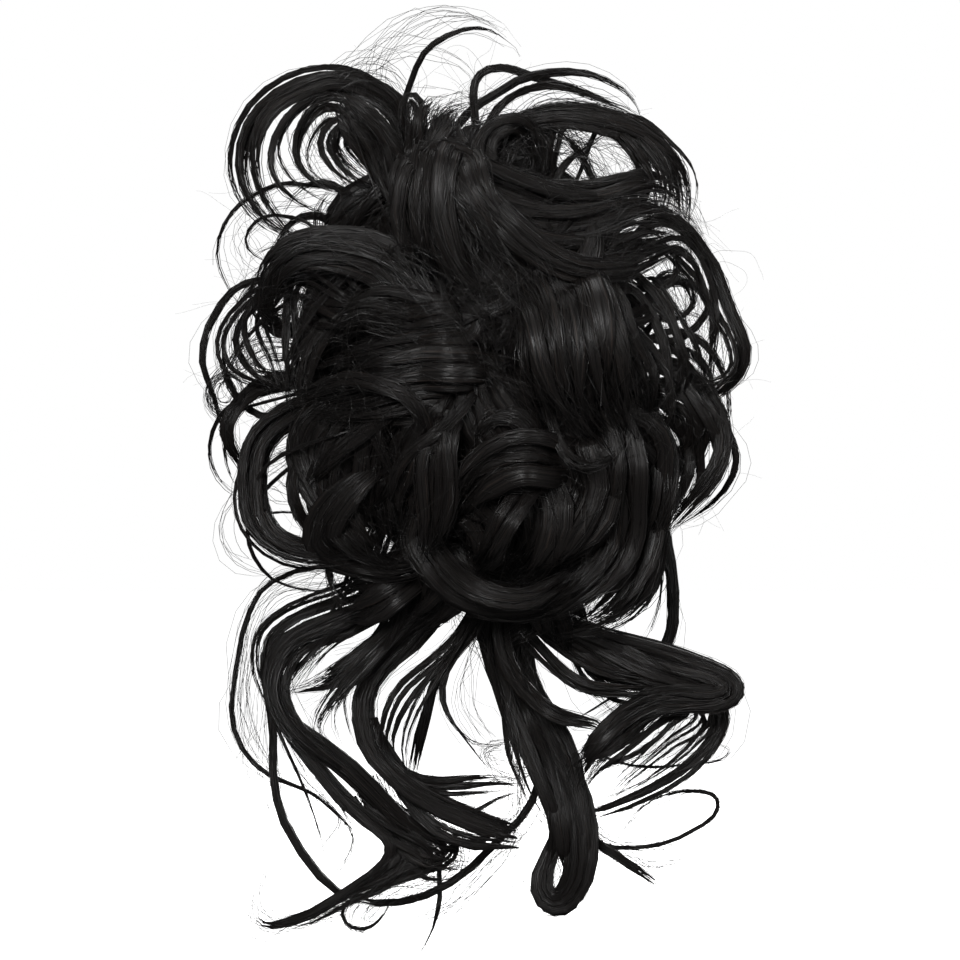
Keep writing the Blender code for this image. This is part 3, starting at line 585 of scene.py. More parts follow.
upperRight = [
    curl(.024, (.48, .36, .34, .36), [(0, .7), (-.008, .8), (-.02, .884), (-.028, .969), (-.018, 1.021),
         (.018, 1.06), (.076, 1.073), (.141, 1.063), (.2, 1.037), (.284, 1.014), (.368, .982), (.446, .949),
         (.511, .924), (.57, .891), (.63, .84)], tip=.9),
    curl(.03, (.46, .4, .38), [(-.1, .8), (-.002, .924), (.076, .969), (.141, 1.011), (.225, 1.034),
         (.303, 1.043), (.381, 1.04), (.459, 1.018), (.524, .982), (.569, .936), (.589, .891), (.6, .83)],
         tight=.7),
    curl(.028, (.46, .44, .42), [(.01, .72), (.024, .826), (.057, .904), (.109, .956), (.187, .992),
         (.264, 1.004), (.36, .985), (.44, .955), (.52, .92)], tight=.7, loose=.5),
    curl(.05, (.44, .4), [(.08, .76), (.12, .84), (.225, .936), (.316, .956), (.414, .949), (.511, .91),
         (.58, .86)], hairs=12, thick=.00018, loose=.9),
    curl(.085, (.5, .46, .44, .4), [(.02, .7), (.08, .8), (.141, .858), (.225, .884), (.303, .895),
         (.394, .886), (.485, .866), (.563, .84), (.636, .795), (.696, .735), (.737, .657), (.75, .579),
         (.745, .5), (.72, .42)], split=6, tight=.7, loose=.35),
    curl(.012, (.4, .36, .36), [(.45, .86), (.609, .871), (.693, .8), (.758, .735), (.796, .657),
         (.796, .586), (.777, .527), (.74, .46)]),
    curl(.07, (.5, .46, .44), [(.3, .86), (.45, .86), (.55, .82), (.62, .75), (.665, .68), (.675, .6),
         (.65, .53), (.58, .48)], split=4, tight=.6, loose=.5),
    curl(.06, (.46, .42), [(.2, .7), (.34, .78), (.45, .79), (.55, .75), (.64, .68)], hairs=12, thick=.0002,
         loose=1),
    curl(.09, (.64, .54, .46), [(.02, .56), (.1, .6), (.22, .6), (.36, .6), (.5, .625), (.6, .65),
         (.69, .62), (.745, .55), (.76, .47)], loose=.4, ragged=.3),
    curl(.09, (.54, .5, .46), [(.06, .6), (.1, .72), (.16, .8), (.24, .84), (.33, .82), (.38, .75),
         (.4, .67), (.38, .6)], hairs=22, thick=.0002, loose=1.2),
    curl(.12, (.56, .5, .46), [(.02, .64), (.04, .74), (.09, .82), (.15, .84), (.2, .8), (.23, .71),
         (.22, .6)], hairs=26, thick=.0002, loose=1.2),
    curl(.16, (.5, .46), [(.02, .6), (.12, .7), (.24, .76), (.36, .76), (.46, .7), (.52, .62), (.54, .54)],
         hairs=26, thick=.00016, loose=1.3, strays=.4),
    curl(.16, (.48, .44), [(.56, .56), (.48, .66), (.36, .72), (.24, .7), (.14, .64), (.06, .6)], hairs=20,
         thick=.00015, loose=1.3, strays=.4),
    curl(.14, (.84, .74, .56, .46), [(-.138, .742), (-.008, .67), (.121, .61), (.251, .56), (.36, .54),
         (.48, .55), (.6, .58), (.7, .58), (.77, .52), (.8, .44)], ragged=.3),
    curl(.14, (.9, .8, .62, .5), [(-.09, .66), (-.041, .6), (.057, .53), (.187, .49), (.316, .475),
         (.45, .49), (.58, .53), (.7, .52), (.79, .45), (.83, .36)], ragged=.3),
    curl(.14, (.96, .84, .62, .48), [(-.04, .6), (.04, .52), (.12, .45), (.22, .4), (.34, .385),
         (.48, .395), (.6, .42), (.71, .45), (.78, .47)]),
    curl(.07, (.96, .86, .7, .56), [(-.04, .56), (.06, .48), (.173, .4), (.264, .355), (.355, .33),
         (.446, .325), (.55, .34), (.66, .38), (.74, .42)]),
]

right = [
    curl(.05, (.44, .38, .38, .42), [(.66, .52), (.76, .48), (.81, .41), (.86, .34), (.89, .26),
         (.925, .17), (.958, .1), (.975, .03), (.962, -.03), (.92, -.085), (.86, -.13), (.78, -.15),
         (.7, -.13), (.62, -.08)], split=4, tight=.7, tip=.7),
    curl(.035, (.48, .44, .46), [(.6, .42), (.72, .36), (.8, .27), (.85, .18), (.9, .1), (.925, .03),
         (.925, -.03), (.88, -.075), (.8, -.09), (.72, -.07), (.64, -.02)], tight=.7),
    curl(.04, (.52, .48), [(.55, .25), (.64, .12), (.72, .02), (.8, -.06), (.86, -.12), (.88, -.18)],
         loose=.8, tight=.5),
    curl(.03, (.5, .48), [(.62, .3), (.72, .18), (.79, .05), (.82, -.06), (.84, -.14)], loose=.6, tight=.6),
    curl(.04, (.44, .42), [(.72, .42), (.83, .28), (.865, .14), (.85, 0), (.83, -.1), (.78, -.18)],
         loose=.8, tight=.5),
    curl(.1, (.56, .5), [(.5, .35), (.6, .28), (.68, .2), (.74, .1), (.76, 0), (.74, -.1), (.7, -.2)],
         split=4, tight=.4, loose=.8, fill=1.3),
    curl(.05, (.5, .44, .46), [(.7, -.02), (.8, -.1), (.86, -.18), (.885, -.26), (.885, -.33), (.86, -.4),
         (.81, -.47), (.75, -.54), (.69, -.61), (.62, -.66)], loose=.4),
    curl(.02, (.4, .38, .4), [(.76, -.12), (.85, -.18), (.905, -.26), (.93, -.33), (.93, -.39), (.91, -.44),
         (.864, -.501), (.791, -.561), (.731, -.598), (.66, -.62)]),
    curl(.2, (.56, .48, .42), [(.6, .5), (.72, .36), (.79, .2), (.81, .04), (.78, -.12), (.7, -.24)],
         hairs=40, thick=.00014, strays=0),
    curl(.16, (.48, .42), [(.66, -.1), (.76, -.2), (.8, -.32), (.77, -.43), (.71, -.52), (.66, -.6)],
         fill=1.2, loose=.9, tight=.5),
    curl(.12, (.5, .46), [(.6, -.16), (.7, -.26), (.73, -.38), (.7, -.5), (.66, -.62), (.62, -.72)],
         fill=1.2, loose=.9, tight=.5),
    curl(.1, (.58, .52), [(.46, -.1), (.58, -.2), (.65, -.32), (.67, -.45), (.65, -.58), (.6, -.7),
         (.52, -.8)], split=4, tight=.5, loose=.6, fill=1.5),
    curl(.12, (.56, .5), [(.52, .2), (.6, .1), (.65, -.02), (.66, -.14), (.64, -.26), (.58, -.36)], split=5,
         tight=.4, loose=.8, fill=1.3),
]

front = [
    curl(.1, (.86, .9, .86, .8), [(-.24, .68), (-.26, .54), (-.24, .42), (-.2, .33), (-.17, .24)]),
    curl(.13, (.88, .94, .9, .82), [(-.15, .74), (-.17, .58), (-.16, .43), (-.15, .32), (-.14, .22)]),
    curl(.13, (.88, .95, .94, .88, .82), [(-.1, .74), (-.12, .58), (-.1, .46), (-.07, .37), (-.02, .3),
         (.06, .25), (.16, .21)]),
    curl(.12, (.88, .97, .94, .88, .82), [(-.05, .72), (0, .57), (.07, .48), (.13, .41), (.2, .35),
         (.29, .29)]),
    curl(.07, (.9, .98, .95, .88, .72, .56), [(0, .64), (.06, .55), (.13, .48), (.2, .42), (.28, .37),
         (.36, .335), (.45, .325), (.55, .335), (.65, .37), (.74, .42)]),
    curl(.16, (.7, .86, .8), [(.2, .44), (.13, .34), (.06, .26), (-.02, .21), (-.12, .19)]),
    curl(.11, (.54, .72, .88, .84, .86, .86, .8, .72, .62), [(.06, .18), (-.05, .17), (-.13, .175),
         (-.21, .19), (-.29, .21), (-.36, .215), (-.43, .18), (-.49, .1), (-.53, 0)]),
    curl(.12, (.54, .79, .96, .9, .84, .88, .88, .8, .7), [(.04, .11), (-.04, .125), (-.1, .13),
         (-.17, .125), (-.25, .115), (-.32, .13), (-.4, .16), (-.47, .14), (-.55, .06)]),
    curl(.1, (.54, .72, .88, .84, .82, .78, .7), [(.02, .05), (-.07, .07), (-.15, .09), (-.24, .08),
         (-.33, .05), (-.42, .03), (-.52, 0)], loose=.6),
    curl(.12, (.54, .76, .97, .94, .88, .94, .88, .8, .7), [(.1, -.02), (.03, -.03), (-.05, -.035),
         (-.11, -.035), (-.18, -.03), (-.26, -.045), (-.33, -.05), (-.42, -.06), (-.54, -.1)]),
    curl(.1, (.54, .74, .91, .87, .89, .84, .76, .64), [(.06, -.1), (-.03, -.105), (-.12, -.105),
         (-.2, -.115), (-.29, -.135), (-.39, -.16), (-.5, -.18), (-.62, -.21)]),
    curl(.09, (.62, .84, .84, .8, .72, .6), [(.02, -.15), (-.1, -.175), (-.2, -.19), (-.32, -.19),
         (-.45, -.21), (-.58, -.26)], loose=.5),
    curl(.045, (.82, .93, .97, .98, .94, .86, .78, .66, .56), [(-.16, -.34), (-.185, -.24), (-.22, -.165),
         (-.27, -.12), (-.33, -.095), (-.4, -.075), (-.5, -.07), (-.58, -.1), (-.66, -.13), (-.72, -.18)]),
    curl(.16, (.82, .8, .72, .62), [(-.08, -.12), (-.16, -.26), (-.22, -.4), (-.25, -.54), (-.26, -.68)],
         loose=.5),
    curl(.14, (.8, .74, .66, .56), [(-.22, -.14), (-.32, -.26), (-.37, -.4), (-.36, -.54), (-.32, -.68)],
         loose=.5),
    curl(.06, (.84, .92, .93, .9, .84, .72), [(-.04, -.16), (-.115, -.28), (-.115, -.4), (-.11, -.5),
         (-.13, -.6), (-.18, -.7)], loose=.5),
    curl(.06, (.84, .9, .9, .88, .8, .7), [(-.1, -.16), (-.165, -.29), (-.19, -.42), (-.18, -.54),
         (-.18, -.64), (-.21, -.74)], loose=.5),
    curl(.06, (.86, .92, .92, .86, .78, .68), [(-.03, -.16), (-.14, -.27), (-.22, -.34), (-.27, -.42),
         (-.3, -.5), (-.31, -.6)], loose=.6),
    curl(.035, (.9, .95, .93, .86, .76, .64), [(0, -.12), (-.1, -.23), (-.19, -.3), (-.26, -.38),
         (-.32, -.47), (-.41, -.56)], loose=.6),
    curl(.06, (.84, .82, .74, .64), [(-.27, -.12), (-.36, -.23), (-.45, -.3), (-.54, -.37), (-.62, -.46)],
         loose=.7),
    curl(.05, (.82, .8, .74, .68), [(-.4, -.18), (-.36, -.28), (-.31, -.38), (-.26, -.48), (-.22, -.58)],
         loose=.9, tight=.5),
]

middle = [
    curl(.2, (.62, .68, .7, .7), [(.02, -.06), (.08, -.18), (.1, -.3), (.06, -.42), (0, -.54)]),
    curl(.06, (.84, .92, .9, .86), [(.22, -.36), (.19, -.27), (.15, -.215), (.09, -.195), (.03, -.22),
         (-.01, -.28), (-.02, -.36)]),
    curl(.14, (.8, .92, .99, .97, .94, .9, .84, .74), [(.33, -.37), (.25, -.36), (.18, -.35), (.1, -.365),
         (.03, -.4), (-.03, -.45), (-.07, -.52), (-.1, -.6)]),
    curl(.09, (.8, .9, .94, .92, .86, .78), [(.29, -.43), (.2, -.415), (.11, -.43), (.03, -.465),
         (-.02, -.51), (-.06, -.58)]),
    curl(.2, (.8, .78, .74, .66), [(.34, -.3), (.38, -.42), (.36, -.54), (.3, -.65), (.2, -.75)]),
    curl(.18, (.8, .78, .74, .66), [(.14, -.4), (.22, -.5), (.24, -.62), (.19, -.72), (.1, -.8)]),
    curl(.16, (.8, .76, .7, .62), [(-.02, -.5), (.04, -.58), (.04, -.68), (-.02, -.76)]),
    curl(.075, (.78, .9, .97, .95, .84, .7), [(.24, -.42), (.165, -.5), (.11, -.58), (.07, -.65),
         (.03, -.72), (-.02, -.8)]),
    curl(.24, (.6, .84, .96, 1, .98, .92, .86, .8), [(.2, .36), (.275, .28), (.32, .17), (.34, .04),
         (.36, -.06), (.395, -.16), (.45, -.25), (.52, -.33)]),
    curl(.11, (.6, .84, .96, 1, .97, .92, .86, .82), [(.14, .32), (.2, .24), (.225, .14), (.225, .03),
         (.235, -.07), (.265, -.17), (.31, -.27), (.38, -.35)]),
    curl(.1, (.6, .8, .92, .95, .92, .86, .78), [(.3, .38), (.38, .29), (.44, .17), (.475, .04), (.5, -.08),
         (.54, -.2), (.57, -.3)]),
    curl(.1, (.62, .86, .9, .84, .7), [(.38, .32), (.28, .22), (.2, .14), (.14, .06), (.12, -.03),
         (.1, -.12)], loose=.9, tight=.5),
    curl(.1, (.62, .84, .8, .68), [(.34, .3), (.24, .24), (.15, .16), (.08, .1), (.02, .06)], loose=.8),
    curl(.2, (.92, .96, .92, .9, .88), [(-.1, .58), (-.02, .44), (.05, .3), (.09, .16), (.1, .02),
         (.08, -.12)], hairs=34, thick=.00018, flat=.25),
    curl(.16, (.95, .98, .97, .95, .86), [(-.02, .6), (.06, .46), (.14, .35), (.22, .25), (.28, .12),
         (.3, -.02), (.3, -.16)], hairs=30, thick=.00018, flat=.25),
    curl(.14, (.92, .96, .93, .88), [(-.3, .36), (-.2, .3), (-.1, .2), (-.02, .08), (.02, -.06), (0, -.2)],
         hairs=24, thick=.00016, flat=.25),
    curl(.03, (.84, .92, .93, .9, .82), [(.25, -.16), (.28, -.27), (.32, -.345), (.38, -.382), (.45, -.37),
         (.53, -.32)]),
    curl(.08, (.6, .8, .82, .76, .68), [(.34, .4), (.44, .3), (.5, .2), (.53, .1), (.57, 0), (.61, -.1),
         (.63, -.22)], loose=.6),
    curl(.1, (.76, .8, .84, .8, .74, .73, .7, .62, .52), [(.48, -.18), (.53, -.31), (.54, -.42),
         (.53, -.52), (.53, -.62), (.51, -.7), (.46, -.77), (.38, -.84), (.29, -.9), (.18, -.94)]),
    curl(.14, (.78, .74, .68, .6), [(.4, -.34), (.45, -.48), (.46, -.6), (.43, -.72), (.36, -.82),
         (.24, -.89)]),
]

lower = [
    curl(.06, (.7, .74, .74, .66), [(-.17, -.62), (-.125, -.73), (-.06, -.8), (.02, -.845), (.1, -.865),
         (.2, -.86), (.28, -.82), (.36, -.76), (.44, -.69)]),
    curl(.08, (.64, .68, .66, .58), [(-.24, -.64), (-.17, -.76), (-.09, -.84), (.01, -.89), (.12, -.91),
         (.23, -.9), (.33, -.85), (.43, -.77), (.52, -.7)], loose=.4),
    curl(.1, (.6, .62, .56), [(-.14, -.66), (-.06, -.76), (.04, -.81), (.15, -.82), (.26, -.78),
         (.35, -.71)], loose=.5),
    curl(.14, (.64, .62, .56, .46), [(.6, -.3), (.6, -.45), (.58, -.6), (.55, -.72), (.5, -.82),
         (.42, -.91), (.3, -.97)]),
    curl(.1, (.54, .5, .44), [(.63, -.4), (.64, -.55), (.62, -.68), (.61, -.78), (.57, -.87), (.49, -.94),
         (.38, -.98), (.26, -1.01)]),
    curl(.14, (.52, .48, .42), [(.3, -.66), (.3, -.78), (.26, -.88), (.18, -.96), (.08, -1.02)], loose=.4),
    curl(.12, (.5, .44, .38), [(.16, -.7), (.22, -.82), (.27, -.92), (.3, -1), (.32, -1.06)], loose=.4),
    curl(.12, (.52, .46, .4), [(-.04, -.66), (-.08, -.78), (-.14, -.88), (-.21, -.95), (-.3, -1.02)],
         loose=.4),
    curl(.1, (.5, .44, .38), [(-.16, -.66), (-.22, -.76), (-.3, -.84), (-.39, -.9), (-.5, -.94)], loose=.4),
    curl(.06, (.48, .42, .36), [(-.26, -.68), (-.33, -.76), (-.41, -.81), (-.5, -.84)], loose=.5),
    curl(.03, (.46, .42, .4), [(-.44, -.6), (-.52, -.69), (-.545, -.75), (-.53, -.81), (-.5, -.86),
         (-.45, -.9)], loose=.3),
]

# The hanging locks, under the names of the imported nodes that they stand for
tail = {
    "far_left": [
        tendril(.012, [(-.44, -.74), (-.54, -.755), (-.64, -.765), (-.72, -.795), (-.775, -.83),
             (-.82, -.9), (-.85, -.98), (-.87, -1.09), (-.884, -1.18), (-.893, -1.255), (-.888, -1.32),
             (-.865, -1.39), (-.82, -1.455), (-.765, -1.5), (-.69, -1.535), (-.6, -1.57), (-.53, -1.63),
             (-.475, -1.68), (-.45, -1.735), (-.465, -1.8), (-.53, -1.885)], fill=4, loose=.3, ragged=.04,
             tip=.8),
        tendril(.1, [(-.42, -.76), (-.54, -.77), (-.66, -.785), (-.74, -.82), (-.8, -.9), (-.83, -1),
             (-.85, -1.12), (-.865, -1.25), (-.85, -1.36), (-.8, -1.46), (-.72, -1.54), (-.62, -1.62)],
             hairs=26, thick=.00013, loose=.9),
    ],
    "left_outer": [
        tendril(.055, [(-.42, -.8), (-.53, -.855), (-.665, -.905), (-.747, -.955), (-.79, -1.01),
             (-.8, -1.07), (-.797, -1.136), (-.78, -1.19), (-.755, -1.26), (-.745, -1.33)], split=5,
             loose=.5, tight=.4, fill=2),
        tendril(.034, [(-.4, -.84), (-.55, -.9), (-.7, -.97), (-.765, -1.05), (-.775, -1.15),
             (-.755, -1.25), (-.745, -1.33), (-.743, -1.4), (-.745, -1.48), (-.734, -1.572),
             (-.706, -1.672), (-.656, -1.763), (-.6, -1.845), (-.538, -1.91), (-.48, -1.95),
             (-.42, -1.965)], split=3, tight=.8, tip=1, full=.95, ragged=.04),
        tendril(.012, [(-.6, -1.02), (-.73, -1.15), (-.745, -1.27), (-.72, -1.35), (-.697, -1.4),
             (-.638, -1.527), (-.584, -1.68), (-.547, -1.818), (-.53, -1.895)]),
        tendril(.009, [(-.6, -1.06), (-.72, -1.2), (-.72, -1.33), (-.66, -1.42), (-.6, -1.5), (-.53, -1.58),
             (-.475, -1.66), (-.45, -1.73), (-.47, -1.8), (-.53, -1.88)]),
        tendril(.05, [(-.6, -1.1), (-.7, -1.28), (-.66, -1.42), (-.6, -1.52), (-.53, -1.6), (-.485, -1.67),
             (-.52, -1.74), (-.593, -1.818), (-.62, -1.86), (-.6, -1.91), (-.538, -1.95)], hairs=14,
             thick=.00014, loose=1),
        tendril(.1, [(-.64, -1), (-.76, -1.16), (-.79, -1.32), (-.79, -1.48), (-.76, -1.62), (-.7, -1.72),
             (-.64, -1.78)], hairs=14, thick=.00013, loose=1),
    ],
    "left_main": [
        tendril(.058, [(-.28, -.8), (-.375, -.865), (-.45, -.915), (-.53, -.94), (-.64, -.985),
             (-.715, -1.04), (-.748, -1.11), (-.75, -1.19), (-.725, -1.27), (-.665, -1.345), (-.585, -1.4),
             (-.5, -1.46), (-.42, -1.53), (-.34, -1.615), (-.26, -1.69), (-.16, -1.74), (-.05, -1.765),
             (.03, -1.765)], tip=1, loose=.35, full=.85, ragged=.08, strays=.04),
        tendril(.036, [(-.3, -.84), (-.45, -.93), (-.6, -.995), (-.7, -1.06), (-.738, -1.13), (-.74, -1.21),
             (-.705, -1.3), (-.63, -1.4), (-.565, -1.485), (-.5, -1.56), (-.43, -1.635), (-.365, -1.69),
             (-.32, -1.735), (-.305, -1.785), (-.335, -1.84), (-.4, -1.895), (-.48, -1.945), (-.565, -2),
             (-.655, -2.04), (-.74, -2.06), (-.79, -2.055), (-.812, -2.02), (-.8, -1.97)], tip=.9, loose=.4,
             full=.93, ragged=.05, strays=.03),
        tendril(.04, [(-.3, -.82), (-.45, -.915), (-.6, -.98), (-.7, -1.045), (-.74, -1.12), (-.735, -1.22),
             (-.69, -1.315), (-.61, -1.43), (-.545, -1.53), (-.47, -1.61), (-.38, -1.68), (-.3, -1.73),
             (-.2, -1.78), (-.17, -1.82), (-.22, -1.86), (-.32, -1.89), (-.41, -1.935), (-.5, -1.975),
             (-.58, -2.02), (-.67, -2.055), (-.76, -2.075)], split=3, tip=.8, loose=.5, tight=.7, full=.9,
             ragged=.08, strays=.03),
        tendril(.07, [(-.26, -.84), (-.38, -.91), (-.48, -.965), (-.56, -.99), (-.63, -1.01), (-.69, -1.06),
             (-.725, -1.13), (-.735, -1.2), (-.71, -1.28), (-.64, -1.37), (-.56, -1.43), (-.46, -1.5),
             (-.37, -1.59), (-.29, -1.66)], split=4, loose=.5, tight=.6),
        tendril(.05, [(-.34, -.9), (-.43, -.945), (-.51, -.995), (-.575, -1.05), (-.635, -1.11),
             (-.68, -1.165), (-.705, -1.22)], split=3, loose=.5, tight=.5),
        tendril(.016, [(-.4, -.96), (-.49, -1.02), (-.56, -1.08), (-.62, -1.15), (-.66, -1.2)]),
        tendril(.06, [(-.36, -1.58), (-.28, -1.68), (-.22, -1.76), (-.24, -1.825), (-.31, -1.87),
             (-.39, -1.915), (-.47, -1.95), (-.56, -1.99)], branch=1, split=4, loose=.8, tight=.7),
        tendril(.05, [(-.3, -1.62), (-.18, -1.71), (-.09, -1.78), (-.13, -1.83), (-.23, -1.86),
             (-.33, -1.895), (-.42, -1.945), (-.5, -1.97)], branch=1, split=4, loose=.9, tight=.6),
        tendril(.12, [(-.42, -1.56), (-.33, -1.66), (-.25, -1.73), (-.16, -1.78), (-.06, -1.81),
             (0, -1.82)], branch=1, loose=1.1, tight=.8, ragged=.5),
        tendril(.1, [(-.4, -1.6), (-.31, -1.7), (-.24, -1.78), (-.17, -1.83), (-.1, -1.85), (-.03, -1.84)],
             branch=1, loose=1.1, tight=.8, ragged=.5),
        tendril(.08, [(-.34, -1.62), (-.3, -1.72), (-.29, -1.8), (-.34, -1.87), (-.42, -1.93)], branch=1,
             loose=1, ragged=.4),
        tendril(.12, [(-.36, -1.5), (-.3, -1.62), (-.2, -1.72), (-.1, -1.78), (-.14, -1.86), (-.28, -1.9),
             (-.4, -1.97), (-.44, -2.05), (-.38, -2.07), (-.32, -2.02)], branch=1, hairs=40, thick=.00014,
             loose=1.3),
        tendril(.07, [(-.3, -1.9), (-.42, -1.95), (-.56, -2), (-.7, -2.03), (-.79, -2), (-.8, -1.93),
             (-.77, -1.84), (-.73, -1.72)], branch=1, hairs=16, thick=.00013, loose=1),
        tendril(.08, [(-.5, -2), (-.64, -2.05), (-.76, -2.08), (-.83, -2.05), (-.84, -2), (-.81, -1.92)],
             branch=1, hairs=12, thick=.00013, loose=1),
        tendril(.012, [(-.44, -1.95), (-.49, -2.01), (-.475, -2.045), (-.43, -2.065), (-.38, -2.05),
             (-.34, -2.01), (-.31, -1.96)], branch=1),
    ],
    "left_branch": [
        tendril(.105, [(-.12, -.8), (-.19, -.89), (-.265, -.973), (-.345, -1.04), (-.42, -1.095),
             (-.5, -1.14), (-.575, -1.173), (-.638, -1.195), (-.72, -1.21)], tip=.15, full=.85),
        tendril(.05, [(-.3, -.88), (-.34, -.96), (-.38, -1.02), (-.42, -1.07), (-.47, -1.12),
             (-.52, -1.16)], split=3, loose=.6, tight=.5),
        tendril(.03, [(-.34, -1), (-.42, -1.045), (-.5, -1.05), (-.54, -1.07), (-.535, -1.1)], hairs=6,
             thick=.00014, loose=.8),
    ],
    "left_wisp": [
        tendril(.052, [(-.24, -.9), (-.35, -1.03), (-.44, -1.13), (-.505, -1.2), (-.555, -1.265),
             (-.585, -1.33), (-.565, -1.385), (-.52, -1.43)], split=4, tight=.8, tip=.5),
        tendril(.03, [(-.28, -.94), (-.38, -1.09), (-.47, -1.19), (-.52, -1.28), (-.52, -1.345),
             (-.49, -1.41)], split=2),
        tendril(.01, [(-.32, -1), (-.43, -1.14), (-.485, -1.23), (-.475, -1.32), (-.45, -1.39),
             (-.41, -1.45)]),
        tendril(.01, [(-.32, -1.02), (-.42, -1.15), (-.46, -1.26), (-.44, -1.35), (-.4, -1.43)]),
    ],
    "blunt": [
        tendril(.055, [(-.08, -.8), (-.145, -.89), (-.21, -.98), (-.3, -1.07), (-.37, -1.14),
             (-.408, -1.22), (-.412, -1.31), (-.39, -1.395), (-.335, -1.47), (-.26, -1.54), (-.18, -1.595),
             (-.09, -1.64), (0, -1.675), (.08, -1.7), (.165, -1.715)], tip=1.2, full=.96, ragged=.03,
             strays=.03),
        tendril(.038, [(-.1, -.84), (-.22, -.98), (-.33, -1.09), (-.385, -1.19), (-.395, -1.3),
             (-.36, -1.42), (-.29, -1.5), (-.2, -1.565), (-.1, -1.615), (0, -1.66), (.08, -1.69),
             (.16, -1.695)], tip=1.2, full=.96, ragged=.03, strays=.03),
        tendril(.035, [(-.37, -1.3), (-.34, -1.45), (-.27, -1.56), (-.2, -1.65), (-.12, -1.71),
             (-.03, -1.745), (.06, -1.755), (.16, -1.757)], branch=1, tip=1.1, full=.96, ragged=.04,
             strays=.03),
        tendril(.035, [(-.38, -1.3), (-.34, -1.42), (-.28, -1.5), (-.2, -1.535), (-.1, -1.54), (0, -1.532),
             (.11, -1.53), (.2, -1.54)], branch=1, split=3, loose=.4, tight=.8),
        tendril(.035, [(-.36, -1.34), (-.28, -1.48), (-.2, -1.56), (-.1, -1.575), (0, -1.57),
             (.11, -1.565)], branch=1, split=3, loose=.6, tight=.5),
        tendril(.012, [(-.3, -1.54), (-.16, -1.62), (-.04, -1.65), (.04, -1.61), (.11, -1.58),
             (.18, -1.56)], branch=1),
        tendril(.06, [(-.2, -1.58), (-.06, -1.63), (.04, -1.66), (.1, -1.65), (.13, -1.61), (.1, -1.58),
             (.04, -1.6)], branch=1, hairs=14, thick=.00013, loose=1.1),
        tendril(.08, [(-.16, -1.66), (-.04, -1.7), (.07, -1.725), (.175, -1.74)], branch=1, hairs=20,
             thick=.00013, loose=.8),
    ],
    "straight_left": [
        tendril(.03, [(0, -.88), (-.04, -.96), (-.1, -1.04), (-.18, -1.11), (-.26, -1.175), (-.31, -1.245),
             (-.336, -1.32), (-.345, -1.39), (-.33, -1.45)], tip=.8, full=.9, ragged=.05),
        tendril(.02, [(.01, -.9), (-.05, -1), (-.12, -1.09), (-.2, -1.17), (-.26, -1.25), (-.3, -1.33),
             (-.312, -1.4), (-.3, -1.46)], tip=.8, full=.9, ragged=.05),
        tendril(.035, [(-.02, -.94), (-.09, -1.06), (-.16, -1.16), (-.22, -1.26), (-.262, -1.37),
             (-.268, -1.44), (-.255, -1.51)], split=3, loose=.5, tight=.5, ragged=.06),
        tendril(.03, [(-.02, -.94), (-.08, -1.02), (-.17, -1.1), (-.25, -1.13), (-.3, -1.17)], hairs=8,
             thick=.00015, loose=.8),
    ],
    "straight_right": [
        tendril(.03, [(.02, -.9), (-.03, -.99), (-.09, -1.07), (-.14, -1.15), (-.168, -1.24),
             (-.195, -1.35), (-.215, -1.44), (-.228, -1.53)], tip=.8, full=.9, ragged=.05, loose=.4),
        tendril(.026, [(0, -.96), (-.08, -1.07), (-.15, -1.17), (-.2, -1.28), (-.235, -1.39), (-.25, -1.5)],
             split=3, loose=.6, tight=.6, ragged=.06),
    ],
    "thin_loop": [
        tendril(.014, [(.03, -.9), (-.03, -1.02), (-.075, -1.07), (-.118, -1.136), (-.138, -1.218),
             (-.115, -1.29), (-.075, -1.345), (-.03, -1.385), (.016, -1.402), (.08, -1.395), (.14, -1.37)]),
        tendril(.012, [(.02, -.94), (-.06, -1.05), (-.105, -1.13), (-.12, -1.23), (-.085, -1.32),
             (-.03, -1.395), (.016, -1.46), (.055, -1.505)]),
        tendril(.07, [(.02, -.94), (-.03, -1.04), (-.06, -1.16), (-.05, -1.27), (0, -1.36), (.05, -1.41),
             (.14, -1.44)], hairs=12, thick=.00013, loose=1),
        tendril(.05, [(-.06, -.94), (-.01, -1.01), (.03, -1.08), (.05, -1.16)], hairs=12, thick=.00015,
             loose=.9),
    ],
    "centre_main": [
        tendril(.088, [(.01, -.86), (.05, -.97), (.09, -1.07), (.135, -1.16), (.185, -1.25), (.235, -1.34),
             (.275, -1.43), (.32, -1.53), (.35, -1.62), (.365, -1.71), (.366, -1.8), (.355, -1.875),
             (.325, -1.935), (.285, -1.965), (.245, -1.945), (.235, -1.89), (.25, -1.83), (.275, -1.77),
             (.3, -1.7), (.31, -1.62)], tip=.5, loose=.3, full=.9, ragged=.05, strays=.05, rings=130),
        tendril(.055, [(.12, -.9), (.15, -1), (.165, -1.12), (.21, -1.23), (.285, -1.34), (.335, -1.44),
             (.362, -1.54), (.38, -1.65), (.393, -1.76), (.393, -1.86), (.358, -1.95), (.3, -2.005),
             (.235, -1.99), (.212, -1.93)], tip=.7, full=.9, ragged=.05, strays=.05, rings=120),
        tendril(.05, [(-.02, -.88), (.02, -.98), (.05, -1.1), (.09, -1.2), (.13, -1.3), (.175, -1.4),
             (.215, -1.5), (.255, -1.6), (.28, -1.7), (.27, -1.78), (.24, -1.86), (.215, -1.93)], split=4,
             tight=.8, full=.9, ragged=.08),
        tendril(.06, [(.16, -1.22), (.2, -1.3), (.25, -1.42), (.285, -1.54), (.31, -1.66), (.325, -1.78),
             (.32, -1.88), (.3, -1.95)], branch=1, full=.9),
        tendril(.018, [(.05, -1.14), (.09, -1.28), (.105, -1.43), (.145, -1.53), (.2, -1.64), (.26, -1.72),
             (.31, -1.78)], loose=.4),
